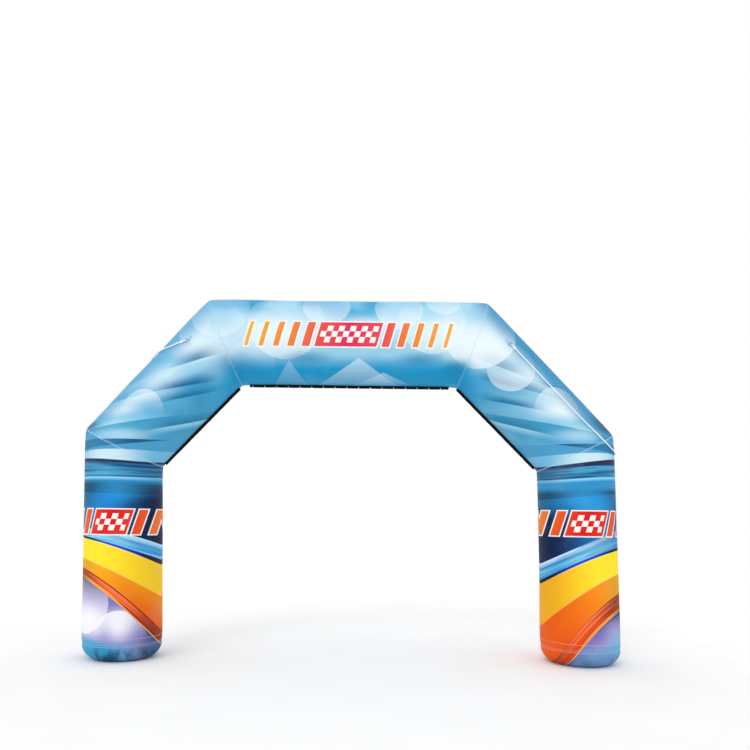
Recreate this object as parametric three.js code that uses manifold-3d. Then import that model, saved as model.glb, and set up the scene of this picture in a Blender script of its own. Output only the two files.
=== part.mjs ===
// An inflatable event arch: five sewn cloth tubes that meet on mitred seams, two sewn foot caps, black
// webbing flaps along the inner edge, and a guy rope on a D-ring at each shoulder, put away behind a leg.
// Millimetres, +Z up, +Y to the back. The arch stands on z = 0, its width along X.

import * as THREE from "three";
import { mergeVertices } from "three/addons/utils/BufferGeometryUtils.js";
import Module from "manifold-3d";

// ---- Driving dimensions ----------------------------------------------------------------------------

// Half of the arch's outline before it leans: outer and inner corner of the cloth at each seam.
const SEAMS = {
  hem: { outerX: 3000, outerZ: 182, innerX: 2137, innerZ: 182 },
  shoulder: { outerX: 2980, outerZ: 2550, innerX: 2146, innerZ: 2144 },
  crown: { outerX: 1586, outerZ: 4056, innerX: 1229, innerZ: 3096 },
};
const TUBE_DEPTH = 900; // front to back, the same for every tube
const LEAN = 0.02; // how far the arch leans to -X for each unit of height
const CENTRE_SHIFT = 20; // brings the leaning outline back over the origin

const SIDES = 48; // facets round a tube
const GAP = 0.3; // between pieces that are sewn together or touch
const SEAM_DRAW = 6; // a seam draws the cloth in by this much all round
const CORNER_ROUND = 6; // and by this much more on the outside of a bend
const CORNER_FILL = 9; // on the inside of a bend the cloth bridges the corner
const DRAW_REACH = 55; // distance over which a seam's draw dies away
const SEAM_ROWS = [GAP / 2, 22, 50, 90, 170, 300]; // distances of the rows of points beside a seam
const MIDDLE_ROWS = [0.35, 0.5, 0.65]; // rows between, as shares of a tube's length

const FOOT_ROUND = 170; // how far a foot cap's rounded edge comes in at the floor
const FOOT_STEPS = 8; // rows of points up a foot cap
const FOOT_DRAW = 8; // the hem seam's draw

const FLAP_DEPTH = 36; // webbing flap, from the tube's inner edge
const FLAP_THICKNESS = 3;
const FLAP_ROUND = 8; // rounded corners of a flap's free edge
// The flaps, each from one to another of its tube's rows of points.
const FLAPS = [
  { name: "flap_left", tube: "diagonal_left", firstRow: 2, lastRow: -2 },
  { name: "flap_beam", tube: "beam", firstRow: 3, lastRow: -3 },
  { name: "flap_right", tube: "diagonal_right", firstRow: 1, lastRow: -2 },
];

const TAB_FACET = -8.5; // the facet that carries a ring's tab, counted round from the tube's outer edge
const TAB_SHARE = 0.79; // how far up its diagonal the tab's eye sits
const TAB_LENGTH = 58;
const TAB_WIDTH = 32;
const TAB_THICKNESS = 3;
const EYE_BORE = 2.9; // radius of the eye that the ring's bar lies in
const EYE_RADIUS = 5.4;
const EYE_HEIGHT = EYE_RADIUS + GAP; // of the eye's centre over the cloth
const RING_WIRE = 2.5; // wire radius
const BOW_RADIUS = 21; // of the D-ring's round side
const BOW_CENTRE = 19; // from the bar to the centre of the round side
const RING_CORNER = 4;
const RING_LIFT = 17; // degrees that the pulled ring stands up from the cloth

const ROPE = 6; // rope radius
const ROPE_SIDES = 8;
const ROPE_STEPS = 40; // along one rope
const HITCH_BEND = 9.3; // radius at which the rope's eye turns round the ring's wire
const HITCH_NARROW = 6.3; // half the distance between the eye's strands inside the knot
const KNOT = { from: 26, to: 60, radius: 14 }; // of a hitch, from the ring's wire
const END_KNOT = { from: -15, to: 15, radius: 13 };

const COIL_RADIUS = 80; // of the outermost turn's centre line
const COIL_PITCH = 12.4; // from turn to turn
const COIL_WALL = 8; // from a centre line to the coil's outer shape
const COIL_RUN_IN = 0.45; // part of a turn from the innermost full turn in to the end knot
const KNOT_SEAT = 14.3; // from the coil's inner wall in to the end knot's axis

// One rig for each shoulder. The pull turns the rope's way off the tube's own line, in degrees. The route
// is the rope's centre line from the hitch, round the back of the arch and down behind the leg, to where
// the coil begins on the floor.
const RIGS = [
  {
    side: "left",
    tube: "diagonal_left",
    pull: -36,
    route: [
      [-1894.5, -396.5, 3476.3], [-1924, -388, 3469], [-1985, -358, 3450], [-2059, -316, 3433],
      [-2141, -252, 3417], [-2217, -173, 3395], [-2295, -64, 3353], [-2362, 64, 3279],
      [-2409, 188, 3174], [-2442, 291, 3043], [-2471, 365, 2899], [-2506, 416, 2739],
      [-2549, 447, 2568], [-2588, 466, 2420], [-2597, 466, 2250], [-2600, 465, 1950],
      [-2600, 465, 1500], [-2600, 465, 1050], [-2600, 465, 600], [-2600, 465, 300], [-2600, 465, 150],
      [-2600, 469, 80], [-2600, 482, 36], [-2600, 508, 12], [-2600, 538, 6.3], [-2600, 571.5, 6.3],
    ],
    coil: { at: [-2680, 620], turns: 2.5 },
  },
  {
    side: "right",
    tube: "diagonal_right",
    pull: 0,
    route: [
      [1774.8, -418.3, 3437.7], [1797, -418, 3414], [1863, -416, 3344], [2079, -415, 3117],
      [2297, -415, 2887], [2512, -414, 2665], [2652, -411, 2528], [2756, -396, 2428],
      [2808, -361, 2392], [2859, -311, 2361], [2907, -239, 2345], [2945, -151, 2339], [2966, -40, 2324],
      [2960, 96, 2294], [2913, 231, 2243], [2830, 344, 2153], [2734, 416, 2006], [2653, 449, 1816],
      [2605, 463, 1560], [2591, 465, 1300], [2590, 465, 950], [2590, 465, 600], [2590, 465, 300],
      [2590, 465, 150], [2590, 469, 80], [2590, 482, 36], [2590, 508, 12], [2590, 538, 6.3],
      [2590, 571.5, 6.3],
    ],
    coil: { at: [2510, 620], turns: 1.4 },
  },
];

// ---- Materials -------------------------------------------------------------------------------------

const finish = (color, roughness, metalness = 0) =>
  new THREE.MeshStandardMaterial({ color, roughness, metalness });
const SKY_CLOTH = finish(0x7db9e0, 0.62);
const SUN_CLOTH = finish(0xe8a92b, 0.62);
const FOOT_CLOTH = finish(0x8fa9d6, 0.66);
const BLACK_WEBBING = finish(0x17181b, 0.8);
const PALE_WEBBING = finish(0x9cc6e6, 0.75);
const STEEL = finish(0x5b6066, 0.35, 0.9);
const WHITE_ROPE = finish(0xf1f2f2, 0.8);

// ---- Solids from rings of points -------------------------------------------------------------------

const radians = THREE.MathUtils.degToRad;

// The angles of a number of points spread evenly over a full turn.
const turnOf = (count) => Array.from({ length: count }, (_, i) => (i / count) * 2 * Math.PI);

// One closed solid from rings of equal count: walls between the rings, and a fan over each end, or the
// last ring joined to the first. Whichever way the rings run, the faces are turned out.
function loft(rings, joined = false) {
  const count = rings[0].length;
  const points = rings.flat();
  const faces = [];
  const spans = joined ? rings.length : rings.length - 1;
  for (let r = 0; r < spans; r += 1) {
    const low = r * count;
    const high = ((r + 1) % rings.length) * count;
    for (let i = 0; i < count; i += 1) {
      const next = (i + 1) % count;
      faces.push([low + i, low + next, high + next], [low + i, high + next, high + i]);
    }
  }
  const closeEnd = (ring, first, turned) => {
    const middle = points.length;
    const sum = ring.reduce((total, point) => total.add(point), new THREE.Vector3());
    points.push(sum.divideScalar(count));
    for (let i = 0; i < count; i += 1) {
      const edge = [first + i, first + ((i + 1) % count)];
      faces.push([middle, ...(turned ? edge.reverse() : edge)]);
    }
  };
  if (!joined) {
    closeEnd(rings[0], 0, true);
    closeEnd(rings.at(-1), (rings.length - 1) * count, false);
  }
  const volume = faces.reduce((sum, [a, b, c]) => {
    const normal = new THREE.Vector3().crossVectors(points[b], points[c]);
    return sum + points[a].dot(normal);
  }, 0);
  if (volume < 0) faces.forEach((face) => face.reverse());
  const geometry = new THREE.BufferGeometry().setFromPoints(points);
  geometry.setIndex(faces.flat());
  geometry.computeVertexNormals();
  return geometry;
}

// A round bar bent along a closed flat path. The direction across is square to the path's plane.
function closedBar(path, across, radius, sides) {
  const rings = path.map((point, k) => {
    const along = path[(k + 1) % path.length].clone().sub(path.at(k - 1)).normalize();
    const aside = new THREE.Vector3().crossVectors(across, along);
    return turnOf(sides).map((angle) =>
      point
        .clone()
        .addScaledVector(aside, radius * Math.cos(angle))
        .addScaledVector(across, radius * Math.sin(angle)),
    );
  });
  return loft(rings, true);
}

const wasm = await Module();
wasm.setup();

// Joins overlapping solids into one.
function fuse(...geometries) {
  const solids = geometries.map((geometry) => {
    const bare = new THREE.BufferGeometry();
    bare.setAttribute("position", geometry.getAttribute("position"));
    bare.setIndex(geometry.index);
    const merged = mergeVertices(bare, 1e-3);
    const vertProperties = new Float32Array(merged.getAttribute("position").array);
    const triVerts = new Uint32Array(merged.index.array);
    return new wasm.Manifold(new wasm.Mesh({ numProp: 3, vertProperties, triVerts }));
  });
  const mesh = solids.reduce((whole, solid) => whole.add(solid)).getMesh();
  const joined = new THREE.BufferGeometry();
  joined.setAttribute("position", new THREE.BufferAttribute(mesh.vertProperties, 3));
  joined.setIndex(new THREE.BufferAttribute(mesh.triVerts, 1));
  joined.computeVertexNormals();
  return joined;
}

// ---- The arch's seams and tubes --------------------------------------------------------------------

const leaning = (x, z) => new THREE.Vector3(x - LEAN * z + CENTRE_SHIFT, 0, z);

// A seam's outer and inner corner on one side of the arch: side -1 is the left.
const seamOn = (side, { outerX, outerZ, innerX, innerZ }) => ({
  outer: leaning(side * outerX, outerZ),
  inner: leaning(side * innerX, innerZ),
});

// The tubes in turn from the left foot to the right.
const TUBES = {
  leg_left: { from: seamOn(-1, SEAMS.hem), to: seamOn(-1, SEAMS.shoulder), hem: "from" },
  diagonal_left: { from: seamOn(-1, SEAMS.shoulder), to: seamOn(-1, SEAMS.crown) },
  beam: { from: seamOn(-1, SEAMS.crown), to: seamOn(1, SEAMS.crown) },
  diagonal_right: { from: seamOn(1, SEAMS.crown), to: seamOn(1, SEAMS.shoulder) },
  leg_right: { from: seamOn(1, SEAMS.shoulder), to: seamOn(1, SEAMS.hem), hem: "to" },
};

// A point of the seam's plain ellipse. Angle 0 is the outer corner, and a quarter turn on is the back.
function seamPoint({ outer, inner }, angle) {
  const point = outer.clone().lerp(inner, (1 - Math.cos(angle)) / 2);
  point.y = (TUBE_DEPTH / 2) * Math.sin(angle);
  return point;
}

// How far the cloth stands out from the plain tube at a distance from a seam.
function reliefBy(angle, distance, atHem) {
  const fade = Math.exp(-distance / DRAW_REACH);
  if (atHem) return -FOOT_DRAW * fade;
  const outside = Math.max(0, Math.cos(angle)) ** 3;
  const inside = Math.max(0, -Math.cos(angle)) ** 4;
  return (-SEAM_DRAW - CORNER_ROUND * outside + (SEAM_DRAW + CORNER_FILL) * inside) * fade;
}

// A point of a tube's skin, at a distance from its first seam along the line at that angle.
function skinPoint(tube, angle, distance) {
  const [start, end] = [seamPoint(tube.from, angle), seamPoint(tube.to, angle)];
  const length = start.distanceTo(end);
  const point = start.clone().lerp(end, distance / length);
  const across = [seamPoint(tube.from, angle + Math.PI), seamPoint(tube.to, angle + Math.PI)];
  const opposite = across[0].lerp(across[1], distance / length);
  const outward = point.clone().sub(opposite).normalize();
  const relief =
    reliefBy(angle, distance, tube.hem === "from") +
    reliefBy(angle, length - distance, tube.hem === "to");
  return point.addScaledVector(outward, relief);
}

// A tube's rows of points on the line at one angle, as distances from its first seam.
function rowsAt(tube, angle) {
  const length = seamPoint(tube.from, angle).distanceTo(seamPoint(tube.to, angle));
  const farRows = SEAM_ROWS.map((distance) => length - distance).reverse();
  return [...SEAM_ROWS, ...MIDDLE_ROWS.map((share) => share * length), ...farRows];
}

function tubeSolid(tube) {
  const lines = turnOf(SIDES).map((angle) =>
    rowsAt(tube, angle).map((distance) => skinPoint(tube, angle, distance)),
  );
  return loft(lines[0].map((_, row) => lines.map((line) => line[row])));
}

// A foot cap: from the flat that stands on the floor, round and up to the hem seam.
function footSolid(seam) {
  const top = seam.outer.z - GAP;
  const halfWidth = Math.abs(seam.outer.x - seam.inner.x) / 2;
  const middleX = (seam.outer.x + seam.inner.x) / 2;
  const rings = Array.from({ length: FOOT_STEPS + 1 }, (_, step) => {
    const turn = ((step / FOOT_STEPS) * Math.PI) / 2;
    const z = top * (1 - Math.cos(turn));
    const draw = FOOT_DRAW * Math.exp((z - top) / DRAW_REACH);
    const inset = FOOT_ROUND * (1 - Math.sin(turn)) + draw;
    return turnOf(SIDES).map(
      (angle) =>
        new THREE.Vector3(
          middleX + LEAN * (top - z) + (halfWidth - inset) * Math.cos(angle),
          (TUBE_DEPTH / 2 - inset) * Math.sin(angle),
          z,
        ),
    );
  });
  return loft(rings);
}

// ---- Webbing flaps ---------------------------------------------------------------------------------

// A flap stands out from its tube's inner edge, and its sewn line follows the cloth.
function flapMesh({ name, tube: tubeName, firstRow, lastRow }) {
  const tube = TUBES[tubeName];
  const along = tube.to.inner.clone().sub(tube.from.inner).normalize();
  const out = new THREE.Vector3(along.z, 0, -along.x);
  const sewn = rowsAt(tube, Math.PI)
    .slice(firstRow, lastRow)
    .map((distance) => skinPoint(tube, Math.PI, distance).sub(tube.from.inner))
    .map((skin) => [skin.dot(along), skin.dot(out) + GAP]);
  const [start, end] = [sewn[0][0], sewn.at(-1)[0]];
  const outline = new THREE.Shape(sewn.map(([x, y]) => new THREE.Vector2(x, y)));
  outline.lineTo(end, FLAP_DEPTH - FLAP_ROUND);
  outline.quadraticCurveTo(end, FLAP_DEPTH, end - FLAP_ROUND, FLAP_DEPTH);
  outline.lineTo(start + FLAP_ROUND, FLAP_DEPTH);
  outline.quadraticCurveTo(start, FLAP_DEPTH, start, FLAP_DEPTH - FLAP_ROUND);
  const options = { depth: FLAP_THICKNESS, bevelEnabled: false, curveSegments: 3 };
  const geometry = new THREE.ExtrudeGeometry(outline, options);
  geometry.translate(0, 0, -FLAP_THICKNESS / 2);
  const mesh = new THREE.Mesh(geometry, BLACK_WEBBING);
  mesh.name = name;
  const back = new THREE.Vector3().crossVectors(along, out);
  mesh.applyMatrix4(new THREE.Matrix4().makeBasis(along, out, back).setPosition(tube.from.inner));
  return mesh;
}

// ---- Ring tabs, D-rings and hitches ----------------------------------------------------------------

// A webbing tab, flat on the cloth, with its end turned back into an eye. X runs to the eye at 0.
function tabSolid() {
  const meet = Math.asin((TAB_THICKNESS - EYE_RADIUS) / EYE_RADIUS);
  const profile = new THREE.Shape();
  profile.moveTo(-TAB_LENGTH, GAP);
  profile.lineTo(0, GAP);
  profile.absarc(0, EYE_HEIGHT, EYE_RADIUS, -Math.PI / 2, Math.PI - meet, false);
  profile.lineTo(-TAB_LENGTH, GAP + TAB_THICKNESS);
  profile.holes.push(new THREE.Path().absarc(0, EYE_HEIGHT, EYE_BORE, 0, 2 * Math.PI, true));
  const options = { depth: TAB_WIDTH, bevelEnabled: false, curveSegments: 8 };
  return new THREE.ExtrudeGeometry(profile, options)
    .translate(0, 0, -TAB_WIDTH / 2)
    .rotateX(Math.PI / 2);
}

// A D-ring lying in XY, its straight bar on the Y axis.
function ringSolid() {
  const corner = BOW_RADIUS - RING_CORNER;
  const bow = Array.from({ length: 15 }, (_, i) => {
    const angle = Math.PI * (i / 14 - 0.5);
    return [BOW_CENTRE + BOW_RADIUS * Math.cos(angle), BOW_RADIUS * Math.sin(angle)];
  });
  const outline = [[0, corner], [0, 0], [0, -corner], [RING_CORNER, -BOW_RADIUS], ...bow];
  const path = [...outline, [RING_CORNER, BOW_RADIUS]].map(([x, y]) => new THREE.Vector3(x, y, 0));
  return closedBar(path, new THREE.Vector3(0, 0, 1), RING_WIRE, 8);
}

// The rope's eye round the ring's wire and the knot that closes it, in XZ, the wire's centre at 0.
function hitchSolid() {
  const arc = (centre, radius, from, to, steps) =>
    Array.from({ length: steps + 1 }, (_, i) => {
      const angle = radians(from + ((to - from) * i) / steps);
      return [centre + radius * Math.cos(angle), radius * Math.sin(angle)];
    });
  const far = KNOT.from + HITCH_NARROW;
  const path = [...arc(0, HITCH_BEND, 75, 285, 10), ...arc(far, HITCH_NARROW, -90, 90, 4)];
  const eye = closedBar(
    path.map(([x, z]) => new THREE.Vector3(x, 0, z)),
    new THREE.Vector3(0, 1, 0),
    ROPE,
    ROPE_SIDES,
  );
  return fuse(eye, knotSolid(KNOT));
}

// A knot as a short barrel with rounded ends, along X.
function knotSolid({ from, to, radius }) {
  const round = radius * 0.45;
  const profile = [
    [0, from],
    [radius - round, from],
    [radius - round * 0.3, from + round * 0.3],
    [radius, from + round],
    [radius, to - round],
    [radius - round * 0.3, to - round * 0.3],
    [radius - round, to],
    [0, to],
  ].map(([r, x]) => new THREE.Vector2(r, x));
  return new THREE.LatheGeometry(profile, 14).rotateZ(-Math.PI / 2);
}

// The frame that a rig hangs on: on the middle of its facet, X down the tube and Z out of the cloth.
function rigFrame(tubeName) {
  const tube = TUBES[tubeName];
  const fromShoulder = tubeName === "diagonal_left";
  const edges = [Math.floor(TAB_FACET), Math.ceil(TAB_FACET)].map((k) => (k / SIDES) * 2 * Math.PI);
  const middleAt = (share) => {
    const [low, high] = edges.map((angle) => {
      const length = seamPoint(tube.from, angle).distanceTo(seamPoint(tube.to, angle));
      return skinPoint(tube, angle, (fromShoulder ? share : 1 - share) * length);
    });
    return { point: low.clone().lerp(high, 0.5), chord: high.sub(low).normalize() };
  };
  const { point, chord } = middleAt(TAB_SHARE);
  const down = middleAt(TAB_SHARE - 0.05).point.sub(point).normalize();
  const out = new THREE.Vector3().crossVectors(down, chord).normalize();
  if (out.y > 0) out.negate();
  const aside = new THREE.Vector3().crossVectors(out, down);
  return new THREE.Matrix4().makeBasis(down, aside, out).setPosition(point);
}

// A named mesh, placed by a position and by turns about the axes in degrees.
function place(name, geometry, material, position = [0, 0, 0], turns = [0, 0, 0]) {
  const mesh = new THREE.Mesh(geometry, material);
  mesh.name = name;
  mesh.position.set(...position);
  mesh.rotation.set(...turns.map(radians), "ZYX");
  return mesh;
}

// A shoulder's tab, ring and hitch, in a group on the cloth.
function rigGroup({ side, tube, pull }) {
  const group = new THREE.Group();
  group.applyMatrix4(rigFrame(tube));
  const lift = radians(RING_LIFT);
  const reach = BOW_CENTRE + BOW_RADIUS * Math.cos(radians(pull));
  const wireAt = [
    reach * Math.cos(lift),
    BOW_RADIUS * Math.sin(radians(pull)),
    EYE_HEIGHT + reach * Math.sin(lift),
  ];
  group.add(
    place(`tab_${side}`, tabSolid(), PALE_WEBBING),
    place(`ring_${side}`, ringSolid(), STEEL, [0, 0, EYE_HEIGHT], [0, -RING_LIFT, 0]),
    place(`hitch_${side}`, hitchSolid(), WHITE_ROPE, wireAt, [0, 0, pull]),
  );
  return group;
}

// ---- Ropes -----------------------------------------------------------------------------------------

// A rope along its route, as a tube of flat sides.
function ropeSolid(route) {
  const curve = new THREE.CatmullRomCurve3(route.map((point) => new THREE.Vector3(...point)));
  const section = new THREE.Shape(
    turnOf(ROPE_SIDES).map((angle) => new THREE.Vector2(ROPE * Math.cos(angle), ROPE * Math.sin(angle))),
  );
  const options = { steps: ROPE_STEPS, extrudePath: curve, bevelEnabled: false };
  return new THREE.ExtrudeGeometry(section, options);
}

// The outer shape of a flat round coil on the floor, and the end knot that lies inside it.
function coilGroup(side, { at, turns }) {
  const inner = COIL_RADIUS - COIL_PITCH * turns - COIL_WALL;
  const outer = COIL_RADIUS + COIL_WALL;
  const corners = [[inner, 0], [outer, 0], [outer, COIL_PITCH], [inner, COIL_PITCH], [inner, 0]];
  const ring = new THREE.LatheGeometry(corners.map(([r, z]) => new THREE.Vector2(r, z)), 32);
  const endAngle = 360 * (turns + COIL_RUN_IN);
  const knotAt = new THREE.Vector3(inner - KNOT_SEAT, 0, END_KNOT.radius + GAP / 2);
  knotAt.applyAxisAngle(new THREE.Vector3(0, 0, 1), radians(endAngle));
  const knot = knotSolid(END_KNOT);
  const group = new THREE.Group();
  group.position.set(...at, 0);
  group.add(
    place(`coil_${side}`, ring.rotateX(Math.PI / 2), WHITE_ROPE),
    place(`end_knot_${side}`, knot, WHITE_ROPE, knotAt.toArray(), [0, 0, endAngle + 90]),
  );
  return group;
}

// ---- The arch --------------------------------------------------------------------------------------

const arch = new THREE.Group();
for (const [name, tube] of Object.entries(TUBES)) {
  arch.add(place(name, tubeSolid(tube), tube.hem ? SUN_CLOTH : SKY_CLOTH));
}
arch.add(place("foot_left", footSolid(TUBES.leg_left.from), FOOT_CLOTH));
arch.add(place("foot_right", footSolid(TUBES.leg_right.to), FOOT_CLOTH));
for (const flap of FLAPS) arch.add(flapMesh(flap));
for (const rig of RIGS) {
  arch.add(rigGroup(rig));
  arch.add(place(`rope_${rig.side}`, ropeSolid(rig.route), WHITE_ROPE));
  arch.add(coilGroup(rig.side, rig.coil));
}

export default arch;
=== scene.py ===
# Dresses an inflatable event arch: printed cloth tubes and foot caps with their sewn seams, black
# webbing flaps, and a guy rope on a D-ring at each shoulder. Metres, +Z up, +Y to the back.

import math

import bmesh
import bpy
import numpy as np
from mathutils import Matrix, Vector


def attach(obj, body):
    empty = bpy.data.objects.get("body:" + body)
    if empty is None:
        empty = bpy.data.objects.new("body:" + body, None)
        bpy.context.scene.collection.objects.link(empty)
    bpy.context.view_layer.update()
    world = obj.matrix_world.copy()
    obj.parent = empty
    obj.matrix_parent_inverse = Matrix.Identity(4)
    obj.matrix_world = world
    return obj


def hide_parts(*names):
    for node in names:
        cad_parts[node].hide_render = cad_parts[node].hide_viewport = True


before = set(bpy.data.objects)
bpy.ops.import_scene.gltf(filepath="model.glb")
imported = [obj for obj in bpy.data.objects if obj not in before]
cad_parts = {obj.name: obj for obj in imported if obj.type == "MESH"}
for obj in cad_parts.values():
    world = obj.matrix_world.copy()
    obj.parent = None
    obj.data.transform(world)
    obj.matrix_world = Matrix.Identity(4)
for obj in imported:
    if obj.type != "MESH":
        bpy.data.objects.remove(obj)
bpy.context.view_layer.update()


# ---- Driving dimensions ---------------------------------------------------------------------------

# Half of the arch's outline before it leans: outer x, outer z, inner x, inner z at each seam.
SEAMS = {
    "hem": (3.0, 0.182, 2.137, 0.182),
    "shoulder": (2.98, 2.55, 2.146, 2.144),
    "crown": (1.586, 4.056, 1.229, 3.096),
}
TUBE_DEPTH = 0.9  # front to back
LEAN = 0.02  # to -X for each unit of height
CENTRE_SHIFT = 0.02
GAP = 0.0003  # between pieces that are sewn together or touch

SEAM_DRAW = 0.006  # a seam draws the cloth in by this much all round
CORNER_ROUND = 0.006  # and by this much more on the outside of a bend
CORNER_FILL = 0.009  # on the inside of a bend the cloth bridges the corner
DRAW_REACH = 0.055  # distance over which a seam's draw dies away
FOOT_DRAW = 0.008
FOOT_ROUND = 0.17  # how far a foot cap's rounded edge comes in at the floor
FOOT_RUN = 0.28  # length of a foot cap's cloth from its hem to the floor
FOOT_FADES = (20, 8)  # how fast its puckers come in below the hem and over the floor
ROUND_ARC = 0.44  # mean radius of a tube
PRINT_WRAP = 0.3  # how far the print runs on round a tube's sides, against its true length there
PRINT_TURN = 0.6  # distance from a seam over which the print turns to lie along it

PUCKER_WAVES = 14
PUCKER_DEPTH = 0.00042  # of one wave
PUCKER_COUNTS = (17, 75)  # of a wave's gathers round a tube
PUCKER_REACHES = (0.03, 0.11)  # distances over which a wave dies away from its seam
PUCKER_START = 0.01  # from the seam to where the puckers have their full depth
SWELL_WAVES = 10
SWELL_DEPTH = 0.0045
SWELL_TURNS = (3.0, 11.0)  # of a wave, in radians a metre
SWELL_START = 0.15  # from the seam to where the swells have their full depth

PANELS = 192  # facets round a tube
PANEL_ANGLES = np.arange(PANELS) / PANELS * 2 * math.pi
NEAR_ROWS = (0.00015, 0.004, 0.009, 0.015, 0.023, 0.034, 0.048, 0.066, 0.088, 0.115, 0.15, 0.2, 0.26)
MIDDLE_ROWS = 56
FOOT_ROWS = 40
TUBE_SEED = 3  # of the first tube's puckers and swells
FOOT_SEEDS = {"foot_left": 21, "foot_right": 22}
FLAP_SEED = 31

# Flaps along the inner edge: how far each starts and ends from its tube's seams.
FLAPS = {
    "flap_left": ("diagonal_left", 0.05, 0.05),
    "flap_beam": ("beam", 0.09, 0.09),
    "flap_right": ("diagonal_right", 0.022, 0.05),
}
FLAP_DEPTH = 0.036
FLAP_THICKNESS = 0.003
FLAP_ROUND = 0.008
FLAP_STEP = 0.006
FLAP_END_ROWS = (0.0, 0.001, 0.0035)  # from each end of a flap
FLAP_COLUMNS = (0.0, 0.02, 0.2, 0.4, 0.6, 0.8, 0.97, 1.0)  # shares of its depth
FLAP_WAVES = 6
FLAP_FRAY = 0.0004  # unevenness of the free edge
FLAP_SWAY = 0.0009  # of the free edge to the front and back

# Pitch, thickness and length of each kind of stitch.
STITCHES = {
    "seam": (0.0105, 0.0022, 0.008),
    "hem": (0.0105, 0.0036, 0.008),
    "tack": (0.0018, 0.0022, 0.011),
    "flap": (0.007, 0.0009, 0.0042),
    "tab": (0.0042, 0.0009, 0.0028),
}
WELTS = {"shoulder": 0.0019, "crown": 0.0014}  # radius of the cord in each seam
WELT_INSET = 0.0002  # from a seam to the points between which its cord lies
SEAM_ROW = 0.009  # from a seam to its row of stitches
SEAM_POINTS = 240  # of a line sewn round a tube
HEM_ROWS = (0.009, 0.075)  # from a leg's hem up to its rows of stitches
CAP_ROW = 0.172  # height of the row of stitches on a foot cap
FLAP_ROW = 0.013  # depth on a flap of its row of stitches
FLAP_ROW_INSET = 0.01  # from each end of the flap to the row
FLAP_ROW_STEP = 0.02
TACK_PITCH = 0.134  # from one pale bar tack of the beam's flap to the next
TACK_SPAN = (0.018, 0.033)  # depth on the flap at which a tack starts and ends
TACK_INSETS = (0.04, 0.02)  # from the flap's ends to the tacks
TACK_PROUD = 0.0006  # of the middle of the flap's stitches, over its face
TACK_POINTS = 8
TAB_BOX = (0.016, 0.006, 0.004)  # from a tab's fold, its sewn end and its sides to the box of stitches
TAB_BOX_POINTS = 12  # of each side of the box

ROPE = 0.006  # radius
ROPE_SIDES = 12
ROPE_STEP = 0.008
ROUTE_STEP = 0.01  # of a rope's route before its coil follows
ROPE_LIE = ROPE + GAP  # height of a rope's middle on the ground
WRAP_PITCH = 0.0115  # from one wrap of a knot to the next
WRAP_STEP = 0.003
TURN_POINTS = 24  # of each turn of a coil or a knot, before its path is stepped evenly

COIL_RADIUS = 0.08  # of the outermost turn
COIL_PITCH = 0.0124
COIL_WALL = 0.008
COIL_RUN_IN = 0.45  # part of a turn from the innermost full turn in to the end knot
RUN_IN_POINTS = 12
KNOT_SEAT = 0.0143
END_KNOT = (-0.015, 0.015, 0.013)  # from, to, radius
HITCH_KNOT = (0.026, 0.060, 0.014)
HITCH_LAP = 0.002  # by which the rope starts inside its knot
HITCH_BEND = 0.0093  # radius of the eye round the ring's wire
HITCH_NARROW = 0.0063  # radius of the eye in the knot
HITCH_TURN = (75, 285, 22)  # of the eye round the wire: degrees from and to, and its points
HITCH_RETURN = (-90, 90, 9)  # of the eye in the knot
HITCH_STEP = 0.004

RING_WIRE = 0.0025
RING_SIDES = 14
RING_STEP = 0.0015
BOW_RADIUS = 0.021
BOW_CENTRE = 0.019
RING_CORNER = 0.004
RING_LIFT = math.radians(17)  # of the pulled ring from the cloth
TAB_LENGTH = 0.058
TAB_WIDTH = 0.032
TAB_PLY = 0.0014  # thickness
TAB_LOW = 0.0012  # height of the lower ply's middle over the cloth
TAB_HIGH = 0.0027  # height of the upper ply's middle
TAB_TOP = 0.0037  # height of the stitches over the cloth
TAB_LOWER = (-TAB_LENGTH, -0.045, -0.03, -0.018, -0.008)  # places along the lower ply
TAB_CLOSE = ((-0.0085, 0.0044), (-0.012, 0.003))  # where the upper ply comes down from the eye
TAB_UPPER = (-0.02, -0.035, 0.003 - TAB_LENGTH)  # places along the upper ply
TAB_STEP = 0.0012
TAB_COLUMNS = (-1.0, -0.97, -0.6, -0.2, 0.2, 0.6, 0.97, 1.0)  # shares of half its width
EYE_HEIGHT = 0.0057  # of the middle of the tab's eye over the cloth
EYE_PLY = 0.0042  # radius of the ply that is turned round the ring's bar

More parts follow.
